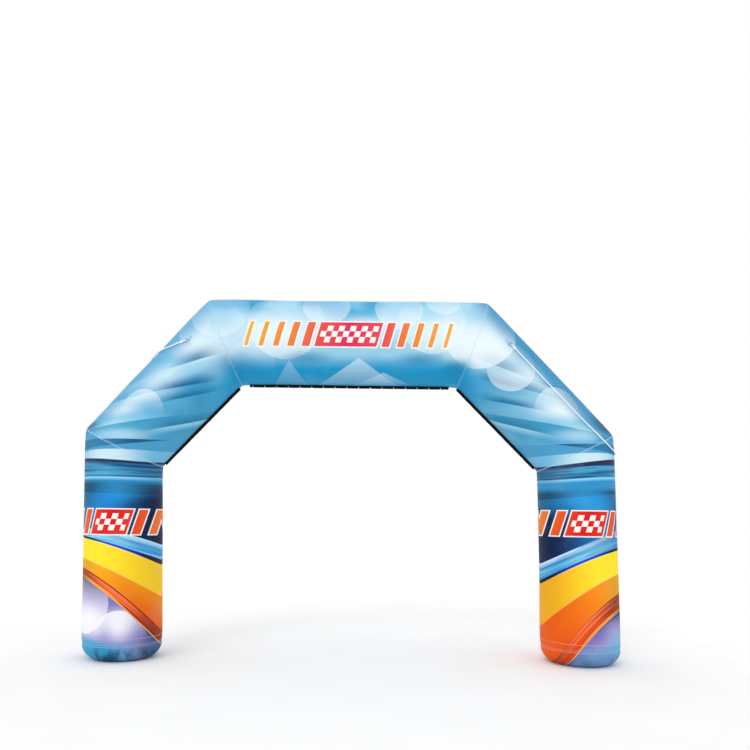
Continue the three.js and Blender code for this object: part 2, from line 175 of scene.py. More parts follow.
# For each shoulder: the tab's eye on the cloth with its ways down the tube and out of the cloth, the
# point of the ring's wire that the rope's eye turns round and the rope's way from there, the rope's
# route, and its coil on the ground.
RIGS = {
    "left": {
        "at": (-1.80112, -0.40272, 3.50408),
        "down": (-0.67429, -0.00006, -0.73847),
        "out": (-0.32113, -0.90048, 0.29328),
        "wire": (-1.8377, -0.4120, 3.4909),
        "rope_way": (-0.936, 0.256, -0.241),
        "route": (
            (-1.8945, -0.3965, 3.4763), (-1.924, -0.388, 3.469), (-1.985, -0.358, 3.450),
            (-2.059, -0.316, 3.433), (-2.141, -0.252, 3.417), (-2.217, -0.173, 3.395),
            (-2.295, -0.064, 3.353), (-2.362, 0.064, 3.279), (-2.409, 0.188, 3.174),
            (-2.442, 0.291, 3.043), (-2.471, 0.365, 2.899), (-2.506, 0.416, 2.739),
            (-2.549, 0.447, 2.568), (-2.588, 0.466, 2.420), (-2.597, 0.466, 2.250),
            (-2.600, 0.465, 1.950), (-2.600, 0.465, 1.500), (-2.600, 0.465, 1.050),
            (-2.600, 0.465, 0.600), (-2.600, 0.465, 0.300), (-2.600, 0.465, 0.150),
            (-2.600, 0.469, 0.080), (-2.600, 0.482, 0.036), (-2.600, 0.508, 0.012),
            (-2.600, 0.538, 0.0063), (-2.600, 0.5715, 0.0063),
        ),
        "coil_at": (-2.680, 0.620),
        "turns": 2.5,
        "length": 5.44,
    },
    "right": {
        "at": (1.70096, -0.40272, 3.50408),
        "down": (0.68992, -0.00005, -0.72389),
        "out": (0.31990, -0.89703, 0.30495),
        "wire": (1.7329, -0.4183, 3.4817),
        "rope_way": (0.690, 0.0, -0.724),
        "route": (
            (1.7748, -0.4183, 3.4377), (1.797, -0.418, 3.414), (1.863, -0.416, 3.344),
            (2.079, -0.415, 3.117), (2.297, -0.415, 2.887), (2.512, -0.414, 2.665),
            (2.652, -0.411, 2.528), (2.756, -0.396, 2.428), (2.808, -0.361, 2.392),
            (2.859, -0.311, 2.361), (2.907, -0.239, 2.345), (2.945, -0.151, 2.339),
            (2.966, -0.040, 2.324), (2.960, 0.096, 2.294), (2.913, 0.231, 2.243),
            (2.830, 0.344, 2.153), (2.734, 0.416, 2.006), (2.653, 0.449, 1.816),
            (2.605, 0.463, 1.560), (2.591, 0.465, 1.300), (2.590, 0.465, 0.950),
            (2.590, 0.465, 0.600), (2.590, 0.465, 0.300), (2.590, 0.465, 0.150),
            (2.590, 0.469, 0.080), (2.590, 0.482, 0.036), (2.590, 0.508, 0.012),
            (2.590, 0.538, 0.0063), (2.590, 0.5715, 0.0063),
        ),
        "coil_at": (2.510, 0.620),
        "turns": 1.4,
        "length": 5.50,
    },
}


# ---- Camera ---------------------------------------------------------------------------------------

CAMERA_PLACE = (0.02, -8.13, 1.576)
CAMERA_TILT = math.radians(93)  # up from straight down
CAMERA_ROLL = math.radians(0.7)
CAMERA_SENSOR = 36.0  # mm
CAMERA_LENS = 34.368  # mm
CAMERA_SHIFT = (0.0287, 0.1413)
CAMERA_REACH = 500


def add_camera():
    view = bpy.data.cameras.new("view")
    view.sensor_width = CAMERA_SENSOR
    view.lens = CAMERA_LENS
    view.shift_x, view.shift_y = CAMERA_SHIFT
    view.clip_end = CAMERA_REACH
    camera = bpy.data.objects.new("camera", view)
    bpy.context.scene.collection.objects.link(camera)
    tilt = Matrix.Rotation(CAMERA_TILT, 4, "X")
    roll = Matrix.Rotation(CAMERA_ROLL, 4, "Z")
    camera.matrix_world = Matrix.Translation(CAMERA_PLACE) @ tilt @ roll
    bpy.context.scene.camera = camera


add_camera()


# ---- Meshes ---------------------------------------------------------------------------------------

CURVE_STEPS = 40  # between one point of a route and the next


def add_object(name, mesh):
    """A named object at the origin."""
    piece = bpy.data.objects.new(name, mesh)
    bpy.context.scene.collection.objects.link(piece)
    return piece


def mesh_object(name, points, faces, finish, corners=None):
    """A named smooth object at the origin, whose UV is given for each corner of its faces in turn."""
    mesh = bpy.data.meshes.new(name)
    mesh.from_pydata([tuple(point) for point in points], [], faces)
    if corners is not None:
        layer = mesh.uv_layers.new(name="cloth")
        layer.data.foreach_set("uv", np.array(corners, dtype=np.float32).ravel())
    mesh.polygons.foreach_set("use_smooth", [True] * len(mesh.polygons))
    mesh.materials.append(finish)
    return add_object(name, mesh)


def turn_outwards(piece):
    """Turns every face of a closed mesh outwards."""
    work = bmesh.new()
    work.from_mesh(piece.data)
    bmesh.ops.recalc_face_normals(work, faces=work.faces)
    if work.calc_volume(signed=True) < 0:
        bmesh.ops.reverse_faces(work, faces=work.faces)
    work.to_mesh(piece.data)
    work.free()


def quad(low, high, side, count):
    """The face on one side between two rings of points, given the first point of each ring."""
    after = (side + 1) % count
    return low + side, low + after, high + after, high + side


def run_along(line):
    """The distance along a line of points at each of them."""
    return np.concatenate([[0], np.cumsum(np.linalg.norm(np.diff(line, axis=0), axis=1))])


def smooth_path(points, step):
    """Points a step apart on one centripetal curve through the given points."""
    knots = [Vector(point) for point in points]
    knots = [2 * knots[0] - knots[1], *knots, 2 * knots[-1] - knots[-2]]
    fine = []
    for before, start, end, after in zip(knots, knots[1:], knots[2:], knots[3:]):
        spans = [math.sqrt((b - a).length) for a, b in ((before, start), (start, end), (end, after))]
        first = (start - before) / spans[0] - (end - before) / (spans[0] + spans[1])
        first = (first + (end - start) / spans[1]) * spans[1]
        last = (end - start) / spans[1] - (after - start) / (spans[1] + spans[2])
        last = (last + (after - end) / spans[2]) * spans[1]
        for part in np.linspace(0, 1, CURVE_STEPS, endpoint=False):
            squared = -3 * start + 3 * end - 2 * first - last
            cubed = 2 * start - 2 * end + first + last
            fine.append(start + first * part + squared * part**2 + cubed * part**3)
    fine.append(knots[-2])
    return even_steps(fine, step)


def even_steps(points, step):
    """The same line in steps of one length."""
    line = np.array([tuple(point) for point in points])
    along = run_along(line)
    places = np.linspace(0, along[-1], max(2, round(along[-1] / step) + 1))
    stepped = np.stack([np.interp(places, along, line[:, k]) for k in range(3)], 1)
    return [Vector(point) for point in stepped]


def bar_rings(path, radius, sides, closed=False):
    """Rings of points round a path that don't twist."""
    count = len(path)
    ways = []
    for k in range(count):
        after = path[(k + 1) % count] if closed or k < count - 1 else path[k]
        before = path[k - 1] if closed or k > 0 else path[k]
        ways.append((after - before).normalized())
    across = ways[0].orthogonal().normalized()
    rings = []
    for centre, way in zip(path, ways):
        across = (across - way * across.dot(way)).normalized()
        aside = way.cross(across)
        turns = [2 * math.pi * k / sides for k in range(sides)]
        rings.append([centre + radius * (across * math.cos(t) + aside * math.sin(t)) for t in turns])
    return rings


def bar(name, path, radius, sides, finish, closed=False):
    """A round bar or rope along a path, whose UV is its share of a turn and its metres along."""
    rings = bar_rings(path, radius, sides, closed)
    points = [point for ring in rings for point in ring]
    spans = len(rings) if closed else len(rings) - 1
    step = (path[1] - path[0]).length
    faces = []
    corners = []
    for r in range(spans):
        low, high = r * step, (r + 1) * step
        for k in range(sides):
            faces.append(quad(r * sides, ((r + 1) % len(rings)) * sides, k, sides))
            near, far = k / sides, (k + 1) / sides
            corners += [(near, low), (far, low), (far, high), (near, high)]
    if not closed:
        for first, turned in ((0, True), ((len(rings) - 1) * sides, False)):
            ring = list(range(first, first + sides))
            faces.append(tuple(reversed(ring)) if turned else tuple(ring))
            corners += [(0.0, 0.0)] * sides
    return mesh_object(name, points, faces, finish, corners)


def joined(name, pieces):
    """Several objects as one mesh object."""
    work = bmesh.new()
    finish = pieces[0].data.materials[0]
    for piece in pieces:
        work.from_mesh(piece.data)
        bpy.data.objects.remove(piece)
    mesh = bpy.data.meshes.new(name)
    work.to_mesh(mesh)
    work.free()
    mesh.materials.append(finish)
    return add_object(name, mesh)


# ---- Node trees -----------------------------------------------------------------------------------

class Graph:
    """A material's node tree, with one method that makes any node."""

    def __init__(self, name):
        self.material = bpy.data.materials.new(name)
        self.material.use_nodes = True
        self.tree = self.material.node_tree
        self.tree.nodes.clear()

    def node(self, kind, values=(), **settings):
        """A node of that kind: its settings first, then the values or links of its sockets."""
        made = self.tree.nodes.new(kind)
        stops = settings.pop("stops", None)
        for key, value in settings.items():
            setattr(made, key, value)
        if stops:
            ramp = made.color_ramp
            while len(ramp.elements) < len(stops):
                ramp.elements.new(0.5)
            for element, (place, colour) in zip(ramp.elements, stops):
                element.position = place
                element.color = (*rgb(colour), 1.0)
        pairs = values.items() if isinstance(values, dict) else enumerate(values)
        for key, value in pairs:
            socket = made.inputs[key]
            if isinstance(value, Value):
                self.tree.links.new(value.socket, socket)
            else:
                socket.default_value = value
        return made

    def value(self, kind, values=(), output=0, **settings):
        return Value(self, self.node(kind, values, **settings).outputs[output])

    def parts(self, vector):
        """The three parts of a vector, each as a value."""
        split = self.node("ShaderNodeSeparateXYZ", (vector,))
        return [Value(self, socket) for socket in split.outputs]

    def vector(self, *parts):
        return self.value("ShaderNodeCombineXYZ", parts)

    def place(self):
        """The place on the object, in metres."""
        return self.value("ShaderNodeTexCoord", output=3)

    def roll(self):
        """The place on the roll of cloth or along the rope: round or across it, and along it."""
        return self.parts(self.value("ShaderNodeUVMap", uv_map="cloth"))[:2]

    def mix(self, factor, low, high):
        """One colour laid over another by a mask. Each is a colour code or a value."""
        made = self.node("ShaderNodeMix", data_type="RGBA", clamp_factor=True)
        for key, value in ((0, factor), (6, low), (7, high)):
            if isinstance(value, Value):
                self.tree.links.new(value.socket, made.inputs[key])
            elif key:
                made.inputs[key].default_value = (*rgb(value), 1.0)
            else:
                made.inputs[key].default_value = value
        return Value(self, made.outputs[2])

    def step(self, value, low, high):
        """0 below low and 1 above high, with a soft change between. Low may be the larger."""
        settings = {"interpolation_type": "SMOOTHSTEP"}
        if low > high:
            return self.value("ShaderNodeMapRange", (value, high, low, 1.0, 0.0), **settings)
        return self.value("ShaderNodeMapRange", (value, low, high, 0.0, 1.0), **settings)

    def noise(self, place, scale, detail=2.0, rough=0.5):
        values = {"Vector": place, "Scale": scale, "Detail": detail, "Roughness": rough}
        return self.value("ShaderNodeTexNoise", values, noise_dimensions="3D")

    def finish(self, colour, roughness, bump=None, bump_depth=0.001, **constants):
        """The surface itself, with its bump if it has one."""
        surface = self.node("ShaderNodeBsdfPrincipled")
        for key, value in constants.items():
            surface.inputs[key.replace("_", " ")].default_value = value
        for key, value in (("Base Color", colour), ("Roughness", roughness)):
            self.tree.links.new(value.socket, surface.inputs[key])
        if bump is not None:
            raised = self.node("ShaderNodeBump", {"Strength": 1.0, "Distance": bump_depth, "Height": bump})
            self.tree.links.new(raised.outputs[0], surface.inputs["Normal"])
        end = self.node("ShaderNodeOutputMaterial")
        self.tree.links.new(surface.outputs[0], end.inputs[0])
        return self.material


class Value:
    """One socket of a tree. Maths on it adds Math nodes."""

    def __init__(self, graph, socket):
        self.graph = graph
        self.socket = socket

    def maths(self, operation, *values):
        return self.graph.value("ShaderNodeMath", values, operation=operation)

    def __add__(self, other):
        return self.maths("ADD", self, other)

    __radd__ = __add__

    def __sub__(self, other):
        return self.maths("SUBTRACT", self, other)

    def __rsub__(self, other):
        return self.maths("SUBTRACT", other, self)

    def __mul__(self, other):
        return self.maths("MULTIPLY", self, other)

    __rmul__ = __mul__

    def __truediv__(self, other):
        return self.maths("DIVIDE", self, other)

    def __pow__(self, other):
        return self.maths("POWER", self, other)

    def __abs__(self):
        return self.maths("ABSOLUTE", self)

    def sine(self):
        return self.maths("SINE", self)

    def floor(self):
        return self.maths("FLOOR", self)

    def over(self, other):
        """1 where this is the larger, or else 0."""
        return self.maths("GREATER_THAN", self, other)

    def larger(self, other):
        return self.maths("MAXIMUM", self, other)

    def between(self, low, high):
        """Runs from low to high as this runs from 0 to 1."""
        return self * (high - low) + low

    def waves(self, pitch):
        """A sine along this, one wave to a pitch."""
        return (self * (2 * math.pi / pitch)).sine()


def rgb(code):
    """A colour code such as "4aa3d8" as linear red, green and blue."""
    parts = [int(code[k : k + 2], 16) / 255 for k in (0, 2, 4)]
    return tuple(c / 12.92 if c <= 0.04045 else ((c + 0.055) / 1.055) ** 2.4 for c in parts)


# ---- Ropes ----------------------------------------------------------------------------------------

BRAID_STRANDS = 4  # of each set, round the rope
BRAID_PITCH = 0.014  # along it
BRAID_DEPTH = 0.0005


def braided_rope():
    """White polyester rope of two sets of strands that cross."""
    graph = Graph("white_braid")
    around, along = graph.roll()
    around = around * (2 * math.pi * BRAID_STRANDS)
    along = along * (2 * math.pi / BRAID_PITCH)
    strands = abs((around + along).sine()) * abs((around - along).sine())
    worn = graph.noise(graph.place(), 60.0, 3.0)
    # Painted shade: the rope is a little greyer in the grooves between its strands than on them.
    colour = graph.mix(strands, "f7f9fa", "ffffff")
    colour = graph.mix(graph.step(worn, 0.55, 0.8) * 0.25, colour, "e2e6e9")
    return graph.finish(colour, 0.68 + worn * 0.2, strands, BRAID_DEPTH)


WHITE_BRAID = braided_rope()


def coil_path(rig):
    """The rope's way into its flat coil and on to the end knot, on the ground."""
    centre_x, centre_y = rig["coil_at"]
    inner = COIL_RADIUS - COIL_PITCH * rig["turns"]
    seat = inner - COIL_WALL - KNOT_SEAT
    points = []
    for part in np.linspace(0, 1, TURN_POINTS * math.ceil(rig["turns"])):
        turn = part * rig["turns"]
        points.append((COIL_RADIUS - COIL_PITCH * turn, turn))
    for part in np.linspace(0, 1, RUN_IN_POINTS)[1:]:
        ease = part * part * (3 - 2 * part)
        points.append((inner + (seat - inner) * ease, rig["turns"] + COIL_RUN_IN * part))
    path = []
    for radius, turn in points:
        angle = 2 * math.pi * turn
        x = centre_x + radius * math.cos(angle)
        y = centre_y + radius * math.sin(angle)
        path.append(Vector((x, y, ROPE_LIE)))
    return path


def wraps(name, seat, knot, finish):
    """A knot as turns of rope wound closely round its axis, which is its seat's X."""
    start, end, radius = knot
    lie = radius - ROPE
    length = end - start - 2 * ROPE
    turns = length / WRAP_PITCH
    points = []
    for part in np.linspace(0, 1, round(TURN_POINTS * turns) + 1):
        angle = 2 * math.pi * turns * part
        x = start + ROPE + length * part
        points.append(seat @ Vector((x, lie * math.cos(angle), lie * math.sin(angle))))
    return bar(name, even_steps(points, WRAP_STEP), ROPE, ROPE_SIDES, finish)


def seat_at(origin, along, out):
    """A seat at a point, with X along and Z out."""
    x = Vector(along).normalized()
    y = Vector(out).cross(x).normalized()
    z = x.cross(y)
    turned = Matrix((x, y, z)).transposed().to_4x4()
    return Matrix.Translation(origin) @ turned


def rope_start(rig):
    """The middle of the ring's wire in the rope's eye, and the rope's way from there."""
    return Vector(rig["wire"]), Vector(rig["rope_way"]).normalized()


def rope_path(rig):
    """The rope's middle line from its knot at the ring to its free end."""
    wire, way = rope_start(rig)
    start = wire + way * (HITCH_KNOT[0] + HITCH_LAP)
    laid = smooth_path((tuple(start), *rig["route"]), ROUTE_STEP)
    return even_steps([*laid, *coil_path(rig)], ROPE_STEP)


def arc(centre, radius, start, end, steps):
    """Points x and z of a round stretch, between two angles in degrees."""
    angles = np.radians(np.linspace(start, end, steps))
    return [(centre + radius * math.cos(angle), radius * math.sin(angle)) for angle in angles]


def add_hitch(side):
    """The rope's eye round the ring's wire, and the knot that closes it."""
    wire, way = rope_start(RIGS[side])
    front = Vector((0, -1, 0))
    seat = seat_at(wire, way, front - way * front.dot(way))
    loop = arc(0, HITCH_BEND, *HITCH_TURN)
    loop += arc(HITCH_KNOT[0] + HITCH_NARROW, HITCH_NARROW, *HITCH_RETURN)
    eye_path = even_steps([seat @ Vector((x, 0, z)) for x, z in [*loop, loop[0]]], HITCH_STEP)[:-1]
    eye = bar(f"eye_{side}", eye_path, ROPE, ROPE_SIDES, WHITE_BRAID, closed=True)
    knot = wraps(f"knot_{side}", seat, HITCH_KNOT, WHITE_BRAID)
    hitch = joined(f"eye_and_knot_{side}", [eye, knot])
    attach(hitch, "root")
    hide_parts(f"hitch_{side}")
    return hitch


def add_end_knot(side, last):
    """The knot on the rope's free end, flat on the ground inside the coil."""
    centre = Vector((*RIGS[side]["coil_at"], last.z))
    outward = (last - centre).normalized()
    tangent = Vector((-outward.y, outward.x, 0))
    middle = Vector((last.x, last.y, END_KNOT[2] + GAP / 2))
    end = wraps(f"stopper_{side}", seat_at(middle, tangent, (0, 0, 1)), END_KNOT, WHITE_BRAID)
    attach(end, "root")
    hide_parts(f"end_knot_{side}")
    return end


def add_rope(side):
    """A guy rope with its eye and knot at the ring, its long way round, its coil and its end knot."""
    rig = RIGS[side]
    path = rope_path(rig)
    rope = bar(f"guy_rope_{side}", path, ROPE, ROPE_SIDES, WHITE_BRAID)
    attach(rope, "root")
    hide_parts(f"rope_{side}", f"coil_{side}")
    hitch = add_hitch(side)
    end = add_end_knot(side, path[-1])


for side_name in RIGS:
    add_rope(side_name)


# ---- The arch's shape -----------------------------------------------------------------------------

def leaning(x, z):
    return np.array((x - LEAN * z + CENTRE_SHIFT, 0.0, z))


def seam_on(side, name):
    """A seam's outer and inner corner on one side of the arch: side -1 is the left."""
    outer_x, outer_z, inner_x, inner_z = SEAMS[name]
    return leaning(side * outer_x, outer_z), leaning(side * inner_x, inner_z)


# Each tube's first and last seam, and which of them is a hem.
TUBES = {
    "leg_left": (seam_on(-1, "hem"), seam_on(-1, "shoulder"), "first"),
    "diagonal_left": (seam_on(-1, "shoulder"), seam_on(-1, "crown"), ""),
    "beam": (seam_on(-1, "crown"), seam_on(1, "crown"), ""),
    "diagonal_right": (seam_on(1, "crown"), seam_on(1, "shoulder"), ""),
    "leg_right": (seam_on(1, "shoulder"), seam_on(1, "hem"), "last"),
}


def seam_points(seam, angles):
    """Points of a seam's plain ellipse. Angle 0 is the outer corner, and a quarter turn on the back."""
    outer, inner = seam
    points = outer + (inner - outer) * ((1 - np.cos(angles)) / 2)[..., None]
    points[..., 1] = TUBE_DEPTH / 2 * np.sin(angles)
    return points


def tube_lengths(tube, angles):
    """A tube's length from seam to seam along the lines at those angles."""
    first, last, _ = tube
    return np.linalg.norm(seam_points(last, angles) - seam_points(first, angles), axis=-1)


def puckers(angles, distances, seed):
    """Small puckers that a seam's stitching leaves in the cloth, in metres."""
    rng = np.random.default_rng(seed)
    total = np.zeros(np.broadcast(angles, distances).shape)
    for _ in range(PUCKER_WAVES):
        count = rng.integers(*PUCKER_COUNTS)
        reach = rng.uniform(*PUCKER_REACHES)
        phase = rng.uniform(0, 2 * math.pi)
        total += np.cos(count * angles + phase) * np.exp(-distances / reach)
    return PUCKER_DEPTH * total


def swells(points, seed):
    """Broad shallow unevenness of blown-up cloth, in metres."""
    rng = np.random.default_rng(seed)
    total = np.zeros(points.shape[:-1])
    for _ in range(SWELL_WAVES):
        way = rng.normal(size=3)
        way *= rng.uniform(*SWELL_TURNS) / np.linalg.norm(way)
        total += np.sin(points @ way + rng.uniform(0, 2 * math.pi)) / np.linalg.norm(way)
    return SWELL_DEPTH * total


def seam_draw(angles, at_hem):
    """How far the cloth stands out right at a seam, which is negative where it is drawn in."""
    if at_hem:
        return -FOOT_DRAW
    outside = np.maximum(0, np.cos(angles)) ** 3
    inside = np.maximum(0, -np.cos(angles)) ** 4
    return -SEAM_DRAW - CORNER_ROUND * outside + (SEAM_DRAW + CORNER_FILL) * inside


def skin(tube, angles, distances, seed=0):
    """Points of a tube's cloth, at distances from its first seam along the lines at those angles.

    Seed 0 leaves out the puckers and swells."""
    first, last, hem = tube
    start, end = seam_points(first, angles), seam_points(last, angles)
    length = tube_lengths(tube, angles)
    share = (distances / length)[..., None]
    points = start + (end - start) * share
    opposite = angles + math.pi
    far_side = seam_points(first, opposite) * (1 - share) + seam_points(last, opposite) * share
    outward = points - far_side
    outward /= np.linalg.norm(outward, axis=-1)[..., None]
    relief = np.zeros(distances.shape)
    for reach, at_hem, salt in ((distances, hem == "first", 1), (length - distances, hem == "last", 2)):
        relief += seam_draw(angles, at_hem) * np.exp(-reach / DRAW_REACH)
        if seed:
            relief += puckers(angles, reach, 10 * seed + salt) * np.minimum(1, reach / PUCKER_START)
    if seed:
        ends = np.minimum(1, np.minimum(distances, length - distances) / SWELL_START)
        relief += swells(points, seed) * ends
    return points + outward * relief[..., None]


def print_wrap(across):
    """How far the flat print reaches past its place seen from the front, from -1 to 1 across a tube."""
    return PRINT_WRAP * ROUND_ARC * (np.arcsin(np.clip(across, -1, 1)) - across)


def print_place(tube, angles, distances, points):
    """Where each point of a tube's cloth lies on the flat print: x and z, and -1 to 1 across."""
    first, last, _ = tube
    across = np.cos(angles)
    wrap = print_wrap(across)
    ways = [(seam[0] - seam[1]) / np.linalg.norm(seam[0] - seam[1]) for seam in (first, last)]
    middle = (first[0] + first[1]) / 2 - (last[0] + last[1]) / 2
    square = np.array((middle[2], 0, -middle[0])) / np.linalg.norm(middle)
    if square @ ways[0] < 0:
        square = -square
    near = np.clip(1 - distances / PRINT_TURN, 0, 1) ** 2
    far = np.clip(1 - (tube_lengths(tube, angles) - distances) / PRINT_TURN, 0, 1) ** 2
    way = square + near[..., None] * (ways[0] - square) + far[..., None] * (ways[1] - square)
    flat = points + way * wrap[..., None]
    return np.stack([flat[..., 0], flat[..., 2], np.broadcast_to(across, wrap.shape)], -1)


def ring_mesh(name, rows, prints, runs, finish):
    """A closed piece of cloth from rows of points round it, capped at both ends.

    Runs are the distances along the roll of cloth at each point, for the weave."""
    count = rows.shape[1]
    points = list(rows.reshape(-1, 3))
    places = list(prints.reshape(-1, 3))
    panel = 2 * math.pi * ROUND_ARC / count
    faces, corners = [], []
    for r in range(rows.shape[0] - 1):
        for k in range(count):
            after = (k + 1) % count
            faces.append(quad(r * count, (r + 1) * count, k, count))
            corners += [(panel * k, runs[r, k]), (panel * (k + 1), runs[r, after])]
            corners += [(panel * (k + 1), runs[r + 1, after]), (panel * k, runs[r + 1, k])]
    for first in (0, (rows.shape[0] - 1) * count):
        middle = len(points)
        points.append(np.mean(points[first : first + count], axis=0))
        places.append(np.mean(places[first : first + count], axis=0))
        for k in range(count):
            after = (k + 1) % count
            faces.append((middle, first + k, first + after))
            corners += [tuple(points[place][:2]) for place in faces[-1]]
    piece = mesh_object(name, points, faces, finish, corners)
    flat = piece.data.attributes.new("print", "FLOAT_VECTOR", "POINT")
    flat.data.foreach_set("vector", np.array(places, dtype=np.float32).ravel())
    turn_outwards(piece)
    return piece


def row_distances(tube, angles):
    """Distances of a tube's rows from its first seam, close together beside both seams."""
    length = tube_lengths(tube, angles)
    near = np.array(NEAR_ROWS)
    shares = np.arange(1, MIDDLE_ROWS + 1) / (MIDDLE_ROWS + 1)
    rows = [np.full(length.shape, distance) for distance in near]
    rows += [near[-1] + (length - 2 * near[-1]) * share for share in shares]
    rows += [length - distance for distance in near[::-1]]
    return np.array(rows)


def add_tube(name, seed, finish):
    tube = TUBES[name]
    distances = row_distances(tube, PANEL_ANGLES)
    spread = np.broadcast_to(PANEL_ANGLES, distances.shape)
    rows = skin(tube, spread, distances, seed)
    prints = print_place(tube, spread, distances, rows)
    piece = ring_mesh(f"cloth_{name}", rows, prints, distances, finish)
    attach(piece, "root")
    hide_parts(name)


def foot_rows(seam, seed):
    """Rows of a foot cap from the floor, round and up to the hem seam, with their print and runs."""
    outer, inner = seam
    top = outer[2] - GAP
    half_width = abs(outer[0] - inner[0]) / 2
    middle = (outer[0] + inner[0]) / 2
    side = math.copysign(1, middle)
    angles = PANEL_ANGLES
    wrap = print_wrap(np.cos(angles))
    rows, prints, runs = [], [], []
    for step in np.linspace(0, 1, FOOT_ROWS):
        turn = step * math.pi / 2
        z = top * (1 - math.cos(turn))
        draw = FOOT_DRAW * math.exp((z - top) / DRAW_REACH)
        inset = FOOT_ROUND * (1 - math.sin(turn)) + draw
        reach = np.full(angles.shape, (1 - step) * FOOT_RUN)
        gathers = puckers(angles, reach, seed)
        gathers = gathers * min(1, (1 - step) * FOOT_FADES[0]) * min(1, step * FOOT_FADES[1])
        x = middle + LEAN * (top - z) + (half_width - inset + gathers) * np.cos(angles)
        y = (TUBE_DEPTH / 2 - inset + gathers) * np.sin(angles)
        height = np.full(angles.shape, z)
        rows.append(np.stack([x, y, height], -1))
        prints.append(np.stack([x + wrap, height, np.cos(angles) * side], -1))
        runs.append(reach)
    return np.array(rows), np.array(prints), np.array(runs)


def add_foot(name, seam, finish):
    rows, prints, runs = foot_rows(seam, FOOT_SEEDS[name])
    piece = ring_mesh(f"cap_{name}", rows, prints, runs, finish)
    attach(piece, "root")
    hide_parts(name)


# ---- The print ------------------------------------------------------------------------------------

# Places on the print are metres: x and z, or the distance to either side of the arch's middle line,
# which leans as the arch does. Strengths are shares of the ink that is laid.

PRINT_EDGE = 0.004  # half the width over which a crisp edge changes
LINE_MIDDLE = 2.5  # distance at which a leg's lines have their level
SLOPE_MIDDLE = 2.2  # and at which the folds of the sloping tubes have theirs
STREAK_RUN = 0.9  # how fast streaks change along a line
LIGHT_STREAKS = (0.5, 0.62)  # grain between which the light streaks come in
DARK_STREAKS = (0.48, 0.38)  # and the dark ones
SOFT_LIGHT = "ebf7fb"
SPOT_LIGHT = "edf8fc"
RAY_LIGHT = "d9f1fb"
OUTLINE_INK = "f8f4f2"
CHECK_INK = "fdf6f0"

# How a round spot is lit, from its foot or from its top: the way to the light, how far the light
# reaches past the middle as a share of the radius, and the strength of the unlit end.
SPOT_LIGHTS = {"foot": (-1, 0.9, 0.15), "top": (1, 0.3, 0.0)}

PENNANT_HEIGHT = 0.27
PENNANT_SLANT = 0.28  # to +X for each unit of height
PENNANT_PITCH = 0.6 * PENNANT_HEIGHT  # from bar to bar
BAR_HALF = 0.27  # half the first bar's width, in pitches
BAR_THINNING = 0.035  # by which each next bar's half is narrower
BAR_MIDDLE = 0.58  # place of a bar in its pitch
BAR_EDGE = 0.02  # width over which a bar's edge changes, in pitches
PANEL_EDGE = 0.002  # and over which the bars start beside the panel
CHECK = 0.23 * PENNANT_HEIGHT  # side of one check
CHECK_ROWS = 3
CHECK_EDGE = 0.003

CLOTH_WEAVE = 0.0026  # from one thread of the cloth to the next but one
CLOTH_CREASES = (7.0, 4.0, 0.5)  # scale, detail and roughness
CLOTH_DUST = (2.4, 4.0, 0.6)
CLOTH_BUMP = 0.006
CLOTH_SHEEN = 0.1


